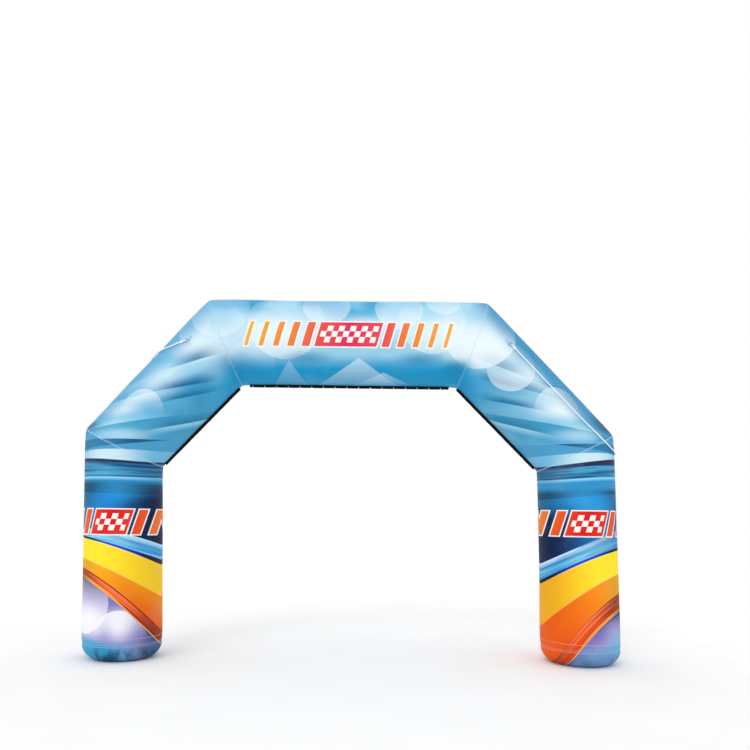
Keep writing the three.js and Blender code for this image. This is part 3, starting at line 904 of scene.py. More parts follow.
class Print:
    """The printed colour of a piece of cloth, laid on mask by mask."""

    def __init__(self, name, base):
        self.graph = Graph(name)
        place = self.graph.value("ShaderNodeAttribute", output=1, attribute_name="print")
        self.x, self.z, self.across = self.graph.parts(place)
        upright = self.x + self.z * LEAN - CENTRE_SHIFT
        self.side = abs(upright)
        self.right = upright.over(0.0)
        self.colour = self.graph.mix(0.0, base, base)

    def lay(self, mask, colour):
        """Prints a colour over what is there."""
        self.colour = self.graph.mix(mask, self.colour, colour)

    def halves(self, left, right):
        """One number on the left half of the arch and another on the right."""
        return self.right.between(left, right)

    def outward(self, start, end):
        """0 to 1 from one distance from the middle line to another, which may be the nearer."""
        return self.graph.step(self.side, start, end)

    def beside(self, middle, start, end):
        """0 to 1 from one distance to either side of a place on each half to another distance."""
        return self.graph.step(abs(self.side - middle), start, end)

    def line(self, left, right, middle=LINE_MIDDLE):
        """Height over a curved line, given for each half as its level, slope and bend."""
        level, slope, bend = (self.halves(*pair) for pair in zip(left, right))
        from_middle = self.side - middle
        return self.z - (from_middle * (from_middle * bend + slope) + level)

    def below(self, line, soft=PRINT_EDGE):
        """A mask of all that lies under a line."""
        return self.graph.step(line, soft, -soft)

    def fold(self, line, width):
        """A mask that is crisp on a line and fades away under it, or over it for a negative width."""
        edge = math.copysign(PRINT_EDGE, width)
        return self.graph.step(line, edge, -edge) * self.graph.step(line, -width, 0.0)

    def streaks(self, line, fineness, seed):
        """Long fine streaks that run along a line."""
        along = self.side * STREAK_RUN + seed
        place = self.graph.vector(along, line * fineness, self.right * 7.0 + seed)
        return self.graph.noise(place, 1.0, 3.0, 0.6)

    def brush(self, mask, grain, light, dark):
        """Prints the light and the dark streaks of a grain: each a strength and a colour."""
        for strength, colour, limits in ((*light, LIGHT_STREAKS), (*dark, DARK_STREAKS)):
            self.lay(mask * self.graph.step(grain, *limits) * strength, colour)

    def away(self, x, z, wide=1.0, tall=1.0):
        """Distance from a point, in units of a width and a height."""
        from_x = (self.x - x) / wide
        from_z = (self.z - z) / tall
        return (from_x * from_x + from_z * from_z) ** 0.5

    def spot(self, x, z, radius, strength, lit="foot", colour=SPOT_LIGHT):
        """A pale round spot with a crisp edge."""
        way, reach, rest = SPOT_LIGHTS[lit]
        inside = self.graph.step(self.away(x, z), radius, radius - 2 * PRINT_EDGE)
        light = self.graph.step((self.z - z) * way, -radius * reach, radius)
        self.lay(inside * light.between(rest, 1.0) * strength, colour)

    def glow(self, x, z, wide, tall, strength, colour=SOFT_LIGHT):
        """Soft light, or soft shade of another colour, round a point."""
        self.lay(self.graph.step(self.away(x, z, wide, tall), 1.0, 0.1) * strength, colour)

    def ray(self, x, z, spread, length, strength):
        """A beam of light that opens downwards from a point."""
        down = z - self.z
        inside = self.graph.step(down * spread - abs(self.x - x), 0.0, 2 * PRINT_EDGE)
        self.lay(inside * self.graph.step(down, length, 0.0) * strength, RAY_LIGHT)

    def within(self, mask, lay_row, rows):
        """Lays each row of a table, by the method for it, but only inside a mask."""
        for row in rows:
            covered = self.colour
            lay_row(*row)
            self.colour = self.graph.mix(mask, covered, self.colour)

    def pennant(self, x, z, panel, bars, hues, outline):
        """A leaning chequered panel, half as wide as given, with leaning bars on both its sides."""
        graph = self.graph
        aside = self.x - x - (self.z - z) * PENNANT_SLANT
        away = abs(aside)
        high = abs(self.z - z)
        run = (away - panel) / PENNANT_PITCH
        number = run.floor()
        half = number * -BAR_THINNING + BAR_HALF

        def shape(grow):
            inward = half + grow / PENNANT_PITCH - abs(run - number - BAR_MIDDLE)
            bar = graph.step(inward, 0.0, BAR_EDGE) * graph.step(away, panel, panel + PANEL_EDGE)
            bar = bar * graph.step(run, bars, bars - BAR_EDGE)
            middle = graph.step(away, panel + grow, panel + grow - PRINT_EDGE)
            top = PENNANT_HEIGHT / 2 + grow
            return bar.larger(middle) * graph.step(high, top, top - PRINT_EDGE)

        reach = panel + bars * PENNANT_PITCH
        hue = graph.value("ShaderNodeValToRGB", (aside / (2 * reach) + 0.5,), stops=hues)
        self.lay(shape(outline), OUTLINE_INK)
        self.lay(shape(0.0), hue)
        odd = ((aside / CHECK).floor() + ((self.z - z) / CHECK + 0.5).floor()) / 2
        odd = (odd - odd.floor()).over(0.25)
        edge, top = panel - CHECK / 2, CHECK * CHECK_ROWS / 2
        inside = graph.step(away, edge, edge - CHECK_EDGE) * graph.step(high, top, top - CHECK_EDGE)
        self.lay(inside * odd, CHECK_INK)

    def finish(self):
        """The cloth that carries the print: a fine plain weave with small creases."""
        graph = self.graph
        warp, weft = graph.roll()
        creases = graph.noise(graph.place(), *CLOTH_CREASES)
        dust = graph.noise(graph.place(), *CLOTH_DUST)
        height = warp.waves(CLOTH_WEAVE) * weft.waves(CLOTH_WEAVE) * 0.05 + creases
        colour = graph.mix(graph.step(dust, 0.5, 0.8) * 0.06, self.colour, "dfe6ea")
        roughness = 0.46 + creases * 0.16
        return graph.finish(colour, roughness, height, CLOTH_BUMP, Specular_IOR_Level=CLOTH_SHEEN)


# Level, slope and bend of the upper line of each band, on the left and on the right half.
SWEEP = {
    "deep": ((1.64, -0.25, 0.0), (1.62, 0.15, 0.0)),
    "pale": ((1.40, 0.20, -0.32), (1.32, 0.445, -0.22)),
    "rim": ((1.262, 0.306, -0.22), (1.162, 0.446, -0.33)),
    "yellow": ((1.236, 0.345, -0.30), (1.134, 0.456, -0.39)),
    "amber": ((0.972, 0.497, -0.43), (0.822, 0.686, -0.64)),
    "red": ((0.787, 0.80, -0.70), (0.495, 1.15, -1.10)),
    "lilac": ((0.65, 0.876, -0.70), (0.27, 1.25, -1.20)),
}
LEVELS = {
    "wedge": ((2.405, 0.0, 0.0), (2.41, 0.02, 0.0)),
    "wedge_foot": ((2.345, -0.11, 0.0), (2.37, -0.13, 0.0)),
    "pale": ((2.295, 0.0, -0.1), (2.31, 0.05, -0.1)),
    "dark": ((2.178, 0.055, 0.0), (2.207, 0.13, 0.0)),
    "streaky": ((2.146, 0.04, 0.0), (2.162, 0.085, 0.0)),
    "gleam": ((1.995, 0.008, 0.0), (2.037, 0.065, 0.0)),
    "smoke": ((1.94, 0.023, 0.0), (1.91, 0.03, 0.0)),
    "azure": ((1.815, 0.018, 0.0), (1.84, 0.094, 0.0)),
}
# Hues across a pennant: place from its left end, 0, to its right, 1, and colour.
WARM_HUES = (
    (0.0, "efb53a"), (0.2, "ee8a3c"), (0.36, "e8524c"), (0.5, "e22a60"),
    (0.66, "ea4a52"), (0.82, "ef8a3c"), (1.0, "f3ac38"),
)
HOT_HUES = (
    (0.0, "f4a030"), (0.22, "ee6a20"), (0.38, "e6321e"), (0.5, "dc1018"),
    (0.64, "e6321e"), (0.8, "ee6a20"), (1.0, "f4a030"),
)
# Each pennant's place, half the width of its panel, its bars to a side, hues and outline.
BEAM_PENNANT = (-0.05, 3.575, 0.34, 5.0, WARM_HUES, 0.014)
LEG_PENNANTS = (
    (-2.58, 1.51, 0.2, 3.0, HOT_HUES, 0.013),
    (2.54, 1.55, 0.2, 3.0, HOT_HUES, 0.013),
)

# Level, slope and bend of the lines of the sky's folds, on the left and on the right half.
FOLD_LINES = {
    "high": ((3.10, -0.30, 0.02), (3.02, -0.36, 0.03)),
    "steep": ((2.98, -0.46, 0.0), (2.90, -0.50, 0.0)),
    "middle": ((2.90, -0.20, 0.02), (2.92, -0.24, 0.02)),
    "lower": ((2.76, -0.26, 0.0), (2.74, -0.22, 0.0)),
    "low": ((2.62, -0.155, 0.0), (2.62, -0.18, 0.0)),
    "lowest": ((2.50, -0.22, 0.0), (2.50, -0.26, 0.0)),
}
# Each fold's line, the width over which it fades, under it or over it where that is negative, its
# strength and colour, and the distances from the middle line between which it comes in.
SKY_FOLDS = (
    ("high", -0.18, 0.95, "1478aa", 2.05, 1.6),
    ("high", 0.15, 0.95, "c6e6f0", 1.5, 2.1),
    ("middle", -0.15, 1.0, "0c6a9c", 2.3, 1.8),
    ("middle", 0.13, 0.95, "d6eff5", 1.8, 2.5),
    ("middle", 0.18, 0.8, "2f95c0", 2.2, 1.7),
    ("lower", -0.10, 0.95, "0f6f9f", 2.2, 1.8),
    ("low", -0.10, 0.7, "cfecf3", 2.1, 2.8),
    ("low", 0.05, 0.9, "15608b", 2.5, 3.0),
    ("low", 0.26, 0.95, "3396c0", 3.4, 2.0),
    ("steep", 0.12, 0.6, "93d0ec", 2.2, 1.6),
    ("lowest", -0.10, 0.7, "1f739c", 2.3, 1.9),
    ("lowest", 0.08, 0.8, "a0d7ee", 2.35, 1.9),
)

# Soft lights and shades: x, z, reach to the sides, reach up and down, strength and, where it isn't
# the soft light, colour.
SLOPE_GLOWS = (
    (-1.62, 3.42, 0.6, 0.32, 0.75), (-2.1, 3.06, 0.4, 0.26, 0.6), (-2.6, 2.74, 0.4, 0.14, 0.85),
    (1.42, 3.46, 0.6, 0.34, 0.95), (1.9, 3.16, 0.34, 0.24, 0.5), (2.3, 2.78, 0.46, 0.16, 0.9),
)
UPPER_GLOWS = (
    (-2.5, 2.45, 0.4, 0.1, 0.7, "b5dcf0"), (2.45, 2.5, 0.4, 0.1, 0.7, "b5dcf0"),
    (-0.85, 3.58, 0.7, 0.32, 0.85), (0.1, 3.62, 0.6, 0.24, 0.75), (0.95, 3.6, 0.6, 0.28, 0.75),
    (-1.13, 3.98, 0.2, 0.3, 0.95, "3a9fcd"), (0.2, 3.98, 0.2, 0.24, 0.95, "3a9fcd"),
    (-0.5, 4.0, 0.2, 0.14, 0.95, "3a9fcd"), (1.66, 3.86, 0.2, 0.3, 0.95, "3a9fcd"),
)
LOWER_SHADES = (
    (-0.5, 3.32, 0.36, 0.11, 0.6, "1a86b8"), (0.72, 3.31, 0.36, 0.11, 0.65, "1a86b8"),
    (-1.3, 3.24, 0.34, 0.18, 0.6, "1a86b8"), (1.12, 3.22, 0.2, 0.14, 0.7, "1a86b8"),
)
CORNER_SHADES = ((2.88, 2.67, 0.34, 0.2, 1.0, "1f5474"), (-2.98, 2.57, 0.3, 0.08, 0.9, "235878"))
LEG_GLOWS = ((-2.62, 1.62, 0.4, 0.3, 0.5, "1780dc"), (2.62, 1.72, 0.34, 0.26, 0.6, "2aa0e2"))
FOOT_GLOWS = (
    (-2.84, 0.44, 0.34, 0.26, 0.9, "fbfaff"), (-2.46, 0.42, 0.2, 0.24, 0.85, "f1f0fa"),
    (2.88, 0.4, 0.26, 0.2, 0.55, "b4b1e0"), (2.98, 0.24, 0.3, 0.2, 0.9, "74bfe0"),
)
# Round spots: x, z, radius, strength and, where it isn't their foot, the end that is lit.
UPPER_SPOTS = (
    (-1.48, 3.86, 0.34, 0.34), (-1.76, 3.66, 0.2, 0.3), (-0.74, 3.72, 0.42, 0.55),
    (-0.3, 3.94, 0.27, 0.45), (0.5, 3.9, 0.27, 0.5), (0.86, 3.74, 0.37, 0.45),
    (1.38, 3.64, 0.42, 0.65), (1.0, 4.02, 0.2, 0.4), (1.72, 3.24, 0.27, 0.5),
)
LOWER_SPOTS = (
    (-1.12, 3.24, 0.27, 0.3, "top"), (1.2, 3.3, 0.24, 0.3, "top"),
    (-2.28, 2.72, 0.24, 0.5, "top"), (2.22, 2.78, 0.26, 0.5, "top"),
)
FOOT_SPOTS = (
    (-2.92, 0.64, 0.35, 0.75, "foot", "fbfaff"),
    (-2.46, 0.3, 0.27, 0.75, "top", "fbfaff"),
)
# Rays of light: x, z, spread, length and strength.
RAYS = ((0.06, 3.33, 1.5, 0.42, 0.55), (0.34, 3.18, 2.2, 0.2, 0.4), (-0.7, 3.3, 0.7, 0.4, 0.25))
# Fine pale lines in the red band, laid only across the lit middle of a leg as painted highlights: depth
# under its edge and strength.
RED_LINES = ((0.03, 0.85), (0.055, 0.5), (0.088, 0.65))

# Distances from the middle line between which the print changes: from the sloping tubes to the beam,
# the other way round, and from the outer side of a leg to its inner side.
ON_BEAM = (1.6, 1.2)
ON_SLOPE = (1.3, 1.7)
LEG_INWARD = (2.75, 2.1)
LEG_SHADED_SIDES = (2.5, 0.06, 0.36)  # the middle of a leg, and from there to where its sides are painted darker as shade
LEG_LIT = (2.56, 0.42, 0.1)  # and from where it is dark to where it is lit


def sky_folds(ink):
    """Long folds that cross the sloping tubes."""
    slope = ink.outward(*ON_SLOPE)
    for name, width, strength, colour, start, end in SKY_FOLDS:
        fold = ink.fold(ink.line(*FOLD_LINES[name], SLOPE_MIDDLE), width)
        ink.lay(fold * ink.outward(start, end) * slope * strength, colour)


def shoulder_bands(ink):
    """Level bands of blue that run from the tops of the legs on to the sloping tubes."""
    graph = ink.graph
    wedge = ink.below(ink.line(*LEVELS["wedge"]))
    ink.lay(wedge, "4b9fcd")
    steel = wedge * graph.step(ink.line(*LEVELS["wedge_foot"]), -PRINT_EDGE, PRINT_EDGE)
    ink.lay(steel, "2e7cab")
    ink.lay(steel * ink.beside(2.3, 0.34, 0.0) * 0.85, "1f5074")
    ink.lay(steel * ink.outward(2.7, 3.1) * 0.6, "25597c")
    pale = ink.below(ink.line(*LEVELS["pale"]))
    ink.lay(pale, "72bde6")
    ink.lay(pale * ink.beside(2.6, 0.5, 0.05) * 0.9, "cfeaf0")
    dark = ink.below(ink.line(*LEVELS["dark"]))
    ink.lay(dark, "222f56")
    ink.lay(dark * ink.outward(2.45, 3.05) * 0.65, "3d1c38")
    streaky = ink.line(*LEVELS["streaky"])
    body = ink.below(streaky, 2 * PRINT_EDGE)
    ink.lay(body, "2a7ba8")
    ink.brush(body, ink.streaks(streaky, 24.0, 3.0), (0.8, "52aed6"), (0.9, "14456c"))
    ink.lay(body * ink.outward(2.6, 2.1) * 0.5, "1a476e")
    gleam = ink.line(*LEVELS["gleam"])
    ink.lay(ink.below(gleam), "3090c8")
    ink.lay(ink.fold(gleam, 0.045) * ink.outward(1.9, 2.5).between(0.3, 1.0), "92d6f6")
    # Painted shade: the smoke and azure bands are darker towards both sides of each leg.
    ends = ink.beside(2.5, 0.0, 0.4)
    ink.lay(ink.below(ink.line(*LEVELS["smoke"]), 0.035) * ends.between(0.25, 1.0), "12486c")
    azure = ink.below(ink.line(*LEVELS["azure"]))
    ink.lay(azure, "2496d8")
    ink.lay(azure * ends * 0.8, "15597f")


def sky_print():
    """Sky blue with soft light, round spots, folds of long bands and a chequered pennant."""
    ink = Print("sky_cloth_print", "76bfe2")
    graph = ink.graph
    beam = ink.outward(*ON_BEAM)
    slope = ink.outward(*ON_SLOPE)
    clouds = graph.noise(graph.vector(ink.x * 0.8, ink.z * 1.3, 4.0), 1.5, 2.0)
    ink.lay(graph.step(clouds, 0.42, 0.62) * 0.6, "abdaed")
    ink.lay(graph.step(clouds, 0.5, 0.34) * 0.75, "45a4d2")
    inner = graph.step(ink.across, 0.0, -0.8) * slope
    ink.lay(inner * ink.halves(0.8, 0.4), "2c92be")
    for row in SLOPE_GLOWS:
        ink.glow(*row)
    sky_folds(ink)
    edge = graph.step(ink.across, 0.15, 0.9) * slope
    ink.lay(edge * 0.65, "55aad8")
    ink.lay(edge * ink.right * 0.85, "2c86b2")
    for row in UPPER_GLOWS:
        ink.glow(*row)
    for row in UPPER_SPOTS:
        ink.spot(*row)
    ink.lay(graph.step(ink.across, -0.42, -0.76) * beam, "1c9dd2")
    ink.lay(graph.step(ink.across, -0.66, -0.95) * beam * 0.7, "168fc0")
    for row in LOWER_SHADES:
        ink.glow(*row)
    for row in LOWER_SPOTS:
        ink.spot(*row)
    for row in RAYS:
        ink.ray(*row)
    rim = graph.step(ink.across, 0.3, 0.95) * slope
    ink.lay(rim * ink.halves(0.45, 0.85), "3a90bf")
    for row in CORNER_SHADES:
        ink.glow(*row)
    ink.pennant(*BEAM_PENNANT)
    shoulder_bands(ink)
    return ink.finish()


def leg_blues(ink):
    """The deep blue over the sweep, and the pale streaked band at its top."""
    graph = ink.graph
    inward = ink.outward(*LEG_INWARD)
    deep = ink.line(*SWEEP["deep"])
    ink.lay(ink.below(deep, 0.12) * inward.between(0.35, 1.0), "114195")
    ink.lay(ink.below(deep - 0.1, 0.1) * inward, "071b42")
    line = ink.line(*SWEEP["pale"])
    pale = ink.below(line)
    grain = ink.streaks(line, 22.0, 5.0)
    ink.lay(pale, "48a3da")
    ink.lay(ink.fold(line, 0.07) * 0.95, "d3ebfa")
    ink.brush(pale, grain, (0.8, "8fd2f2"), (0.8, "1f6da8"))
    shine = ink.beside(2.58, 0.36, 0.06)
    ink.lay(pale * shine * graph.step(grain, 0.42, 0.6).between(0.25, 0.75), "a6e6fb")


def leg_sweep(ink):
    """The blue rim and the sweep of yellow, amber and red under it, with painted shade at the sides of each
    leg and painted highlights across its middle.
    """
    graph = ink.graph
    inward = ink.outward(*LEG_INWARD)
    # Painted shade: both sides of each leg, where it turns away from the front, are painted darker in the
    # rim and red bands below.
    ends = ink.beside(*LEG_SHADED_SIDES)
    # Painted highlights: the pale lines below show only across the lit middle of each leg.
    lit = ink.beside(*LEG_LIT)
    rim = ink.below(ink.line(*SWEEP["rim"]))
    ink.lay(rim, "1f3fd0")
    ink.lay(rim * ends, "070e2c")
    line = ink.line(*SWEEP["yellow"])
    yellow = ink.below(line)
    ink.lay(yellow, "fce52c")
    ink.lay(yellow * inward * ink.halves(0.5, 1.0), "f2ac1a")
    ink.lay(ink.fold(line, 0.02) * lit * 0.6, "fff6a8")
    line = ink.line(*SWEEP["amber"])
    amber = ink.below(line)
    ink.lay(amber, "fbb41c")
    ink.lay(amber * ink.right * 0.75, "fc8a18")
    ink.lay(amber * inward * ink.halves(0.7, 1.0), "ea7010")
    ink.lay(amber * inward * ink.right * 0.8, "ee5a0c")
    ink.lay(ink.fold(line, 0.012) * lit * 0.7, "ffeeb0")
    line = ink.line(*SWEEP["red"])
    red = ink.below(line)
    ink.lay(graph.step(line, 0.3, 0.0) * amber * inward.between(0.15, 0.75), "e8500e")
    # Painted shade: the amber darkens to mustard towards the outer side of each leg.
    ink.lay(amber * ink.outward(2.6, 3.0) * 0.85, "d6a80e")
    ink.lay(red, "f0541c")
    grain = ink.streaks(line, 34.0, 9.0)
    ink.lay(red * graph.step(grain, *DARK_STREAKS) * 0.85, "9c2f12")
    ink.lay(red * graph.step(grain, 0.54, 0.64) * 0.5, "fd7440")
    ink.lay(red * ends * 0.75, "702010")
    for depth, strength in RED_LINES:
        ink.lay(graph.step(abs(line + depth), 0.006, 0.002) * lit * strength, "fdb27c")


def leg_foot(ink):
    """The orange piping under the sweep, and the lilac foot with its light and its blue floor."""
    graph = ink.graph
    line = ink.line(*SWEEP["lilac"])
    lilac = ink.below(line)
    ink.lay(ink.fold(line, -0.07) * ink.outward(*LEG_INWARD) * 0.9, "3c1206")
    piping = ink.below(line - 0.018 - ink.outward(2.3, 2.6) * 0.02)
    ink.lay(piping, "f2a248")
    ink.lay(piping * ink.outward(2.75, 3.0) * 0.8, "7c4420")
    ink.lay(lilac, "9f98d0")
    ink.lay(ink.fold(line, 0.2) * 0.7, "6f67bc")
    ink.lay(ink.fold(line, 0.3) * ink.outward(2.4, 3.0) * 0.95, "4a4585")
    # Painted shadow: dark under the lilac line at both sides of each leg.
    ink.lay(ink.fold(line, 0.05) * ink.beside(*LEG_SHADED_SIDES) * 0.8, "241a3c")
    ink.within(lilac, ink.glow, FOOT_GLOWS)
    ink.within(lilac, ink.spot, FOOT_SPOTS)
    inner = ink.outward(2.45, 2.1) * graph.step(ink.z, 0.5, 0.2)
    ink.lay(lilac * inner * 0.85, "3c4a78")
    floor = graph.step(ink.z - ink.outward(2.5, 2.9) * 0.06, 0.27, 0.13)
    floor = floor * ink.outward(2.2, 2.6).between(0.15, 1.0)
    ink.lay(lilac * floor * ink.halves(1.0, 0.55), "3aa8d6")
    blots = graph.noise(graph.vector(ink.x * 5.0, ink.z * 2.0, 2.0), 1.6, 2.0)
    blots = graph.step(blots, 0.42, 0.6) * ink.halves(0.7, 0.2) + 0.25
    ink.lay(lilac * graph.step(ink.z, 0.24, 0.05) * blots, "1a4a6c")


def leg_print():
    """Blue bands over a sweep of yellow, amber and red, and a pale glow at the foot."""
    ink = Print("leg_cloth_print", "4b9fcd")
    ink.lay(ink.fold(ink.line(*FOLD_LINES["low"], SLOPE_MIDDLE), 0.05) * 0.7, "1d6a97")
    shoulder_bands(ink)
    for row in LEG_GLOWS:
        ink.glow(*row)
    leg_blues(ink)
    leg_sweep(ink)
    leg_foot(ink)
    for row in LEG_PENNANTS:
        ink.pennant(*row)
    return ink.finish()


SKY_PRINT = sky_print()
LEG_PRINT = leg_print()

for order, tube_name in enumerate(TUBES):
    add_tube(tube_name, order + TUBE_SEED, LEG_PRINT if tube_name.startswith("leg") else SKY_PRINT)
add_foot("foot_left", TUBES["leg_left"][0], LEG_PRINT)
add_foot("foot_right", TUBES["leg_right"][1], LEG_PRINT)


# ---- Webbing, rings and stitches ------------------------------------------------------------------

RIB_PITCH = 0.0024  # of the webbing's ribs, along it
GROOVE_PITCH = 0.0018  # of its grooves, across it
WEBBING_BUMP = 0.0005
WEBBING_SHEEN = 0.2
SCRATCH_DEPTH = 0.0001
THREAD_BUMP = 0.0002


def webbing(name, dark, light, worn_edge):
    """Close-woven webbing: ribs across it, fine grooves along it and a little wear."""
    graph = Graph(name)
    across, along = graph.roll()
    ribs = along.waves(RIB_PITCH)
    grooves = abs(across.waves(2 * GROOVE_PITCH))
    weave = ribs * 0.5 + 0.5 + grooves * 0.6
    worn = graph.noise(graph.place(), 40.0, 4.0, 0.6)
    # Painted shade and highlight: the colour runs from dark in the weave's grooves to light on its ribs.
    colour = graph.mix(weave * 0.5, dark, light)
    colour = graph.mix(graph.step(worn, 0.55, 0.8) * 0.5, colour, worn_edge)
    return graph.finish(colour, 0.7 + worn * 0.2, weave, WEBBING_BUMP, Specular_IOR_Level=WEBBING_SHEEN)


def satin_steel():
    """Drawn steel with fine scratches, dulled in places."""
    graph = Graph("satin_steel")
    dull = graph.noise(graph.place(), 90.0, 4.0, 0.6)
    scratches = graph.noise(graph.place(), 900.0, 2.0, 0.7)
    colour = graph.mix(dull, "4a5056", "8b9197")
    return graph.finish(colour, 0.25 + dull * 0.25, scratches, SCRATCH_DEPTH, Metallic=1.0)


def sewing_thread(name, clean, soiled):
    """Thick polyester thread, slightly soiled."""
    graph = Graph(name)
    soil = graph.noise(graph.place(), 30.0, 3.0)
    colour = graph.mix(soil, clean, soiled)
    return graph.finish(colour, 0.5 + soil * 0.2, graph.noise(soil * 40.0, 30.0), THREAD_BUMP)


def webbing_band(name, grid, out, thickness, finish):
    """A closed band of webbing round a grid of its middle points: rows along it, columns across it."""
    rows, columns = grid.shape[:2]
    count = 2 * columns
    fullness = np.ones(columns)
    fullness[[0, -1]] = 0.3
    proud = out * fullness[:, None] * thickness / 2
    loops = np.concatenate([grid + proud, (grid - proud)[:, ::-1]], axis=1)
    along = run_along(grid[:, columns // 2])
    across = run_along(grid[rows // 2])
    across = np.concatenate([across, across[::-1]])
    faces, corners = [], []
    for r in range(rows - 1):
        for k in range(count):
            after = (k + 1) % count
            faces.append(quad(r * count, (r + 1) * count, k, count))
            corners += [(across[k], along[r]), (across[after], along[r])]
            corners += [(across[after], along[r + 1]), (across[k], along[r + 1])]
    for r in (0, rows - 1):
        first = r * count
        for k in range(columns - 1):
            facing = count - 1 - k
            faces.append((first + k, first + k + 1, first + facing - 1, first + facing))
            corners += [(across[place], along[r]) for place in (k, k + 1, k + 1, k)]
    piece = mesh_object(name, loops.reshape(-1, 3), faces, finish, corners)
    turn_outwards(piece)
    return piece


def flap_ways(tube_name):
    """A tube's first inner corner, its inner edge's length, and the ways along it and out of it."""
    first, last, _ = TUBES[tube_name]
    inner = first[1]
    length = np.linalg.norm(last[1] - inner)
    along = (last[1] - inner) / length
    return inner, length, along, np.array((along[2], 0, -along[0]))


def flap_edge(reach, seed):
    """How uneven a flap's free edge is at each place along it, and how far it sways to the back."""
    rng = np.random.default_rng(seed)
    uneven, sway = np.zeros(reach.shape), np.zeros(reach.shape)
    for _ in range(FLAP_WAVES):
        uneven += np.sin(reach * rng.uniform(20, 120) + rng.uniform(0, 6))
        sway += np.sin(reach * rng.uniform(8, 40) + rng.uniform(0, 6))
    return FLAP_FRAY * np.abs(uneven), FLAP_SWAY * sway


def add_flap(name, seed):
    """A webbing flap sewn along a tube's inner edge, a little uneven along its free edge."""
    tube_name, start, end = FLAPS[name]
    inner, length, along, out = flap_ways(tube_name)
    near = np.array(FLAP_END_ROWS)
    between = np.arange(start, length - end, FLAP_STEP)[1:-1]
    reach = np.concatenate([start + near, between, length - end - near[::-1]])
    cloth = skin(TUBES[tube_name], np.full(reach.shape, math.pi), reach)
    low = (cloth - inner) @ out + GAP
    from_end = np.minimum(reach - start, length - end - reach)
    corner = np.clip(FLAP_ROUND - from_end, 0, FLAP_ROUND)
    uneven, sway = flap_edge(reach, seed)
    high = FLAP_DEPTH - FLAP_ROUND + np.sqrt(FLAP_ROUND**2 - corner**2) - uneven
    columns = np.array(FLAP_COLUMNS)
    depth = low[:, None] + (high - low)[:, None] * columns
    grid = inner + along * reach[:, None, None] + out * depth[..., None]
    grid[..., 1] += sway[:, None] * columns**2
    facing = np.broadcast_to((0.0, -1.0, 0.0), grid.shape)
    piece = webbing_band(f"webbing_{name}", grid, facing, FLAP_THICKNESS, BLACK_WEBBING)
    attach(piece, "root")
    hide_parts(name)
    length - start - end


def tab_seat(rig):
    """A tab's seat on the cloth: X down the tube, Z out of the cloth."""
    return seat_at(Vector(rig["at"]), rig["down"], rig["out"])


def ring_outline():
    """A D-ring's outline, flat, with its straight bar along Y through the origin."""
    outline = []
    for centre_x, centre_y, radius, start, end, steps in (
        (RING_CORNER, RING_CORNER - BOW_RADIUS, RING_CORNER, 180, 270, 6),
        (BOW_CENTRE, 0, BOW_RADIUS, -90, 90, 36),
        (RING_CORNER, BOW_RADIUS - RING_CORNER, RING_CORNER, 90, 180, 6),
    ):
        for x, y in arc(centre_x, radius, start, end, steps):
            outline.append(Vector((x, centre_y + y, 0)))
    return [*outline, outline[0]]


def add_ring(side):
    """A steel D-ring whose straight bar lies in the tab's eye."""
    lifted = tab_seat(RIGS[side]) @ Matrix.Translation((0, 0, EYE_HEIGHT))
    lifted = lifted @ Matrix.Rotation(-RING_LIFT, 4, "Y")
    path = even_steps([lifted @ point for point in ring_outline()], RING_STEP)[:-1]
    ring = bar(f"d_ring_{side}", path, RING_WIRE, RING_SIDES, SATIN_STEEL, closed=True)
    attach(ring, "root")
    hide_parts(f"ring_{side}")


def tab_line():
    """A tab's middle line: along its lower ply, round the ring's bar and back along its upper ply."""
    lower = [(x, TAB_LOW) for x in TAB_LOWER]
    fold = [(x, EYE_HEIGHT + z) for x, z in arc(0, EYE_PLY, -90, 150, 13)]
    upper = [(x, TAB_HIGH) for x in TAB_UPPER]
    return smooth_path([(x, 0, z) for x, z in (*lower, *fold, *TAB_CLOSE, *upper)], TAB_STEP)


def add_tab(side):
    """A webbing tab folded round the ring's bar, its two plies sewn flat on the cloth."""
    seat = tab_seat(RIGS[side])
    line = tab_line()
    across = np.array(TAB_COLUMNS) * TAB_WIDTH / 2
    ways = [(after - before).normalized() for before, after in zip([line[0], *line], [*line[1:], line[-1]])]
    grid = [[seat @ Vector((point.x, shift, point.z)) for shift in across] for point in line]
    turned = seat.to_3x3()
    out = [[turned @ Vector((-way.z, 0, way.x))] * len(across) for way in ways]
    tab = webbing_band(f"ring_tab_{side}", np.array(grid), np.array(out), TAB_PLY, PALE_WEBBING)
    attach(tab, "root")
    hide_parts(f"tab_{side}")


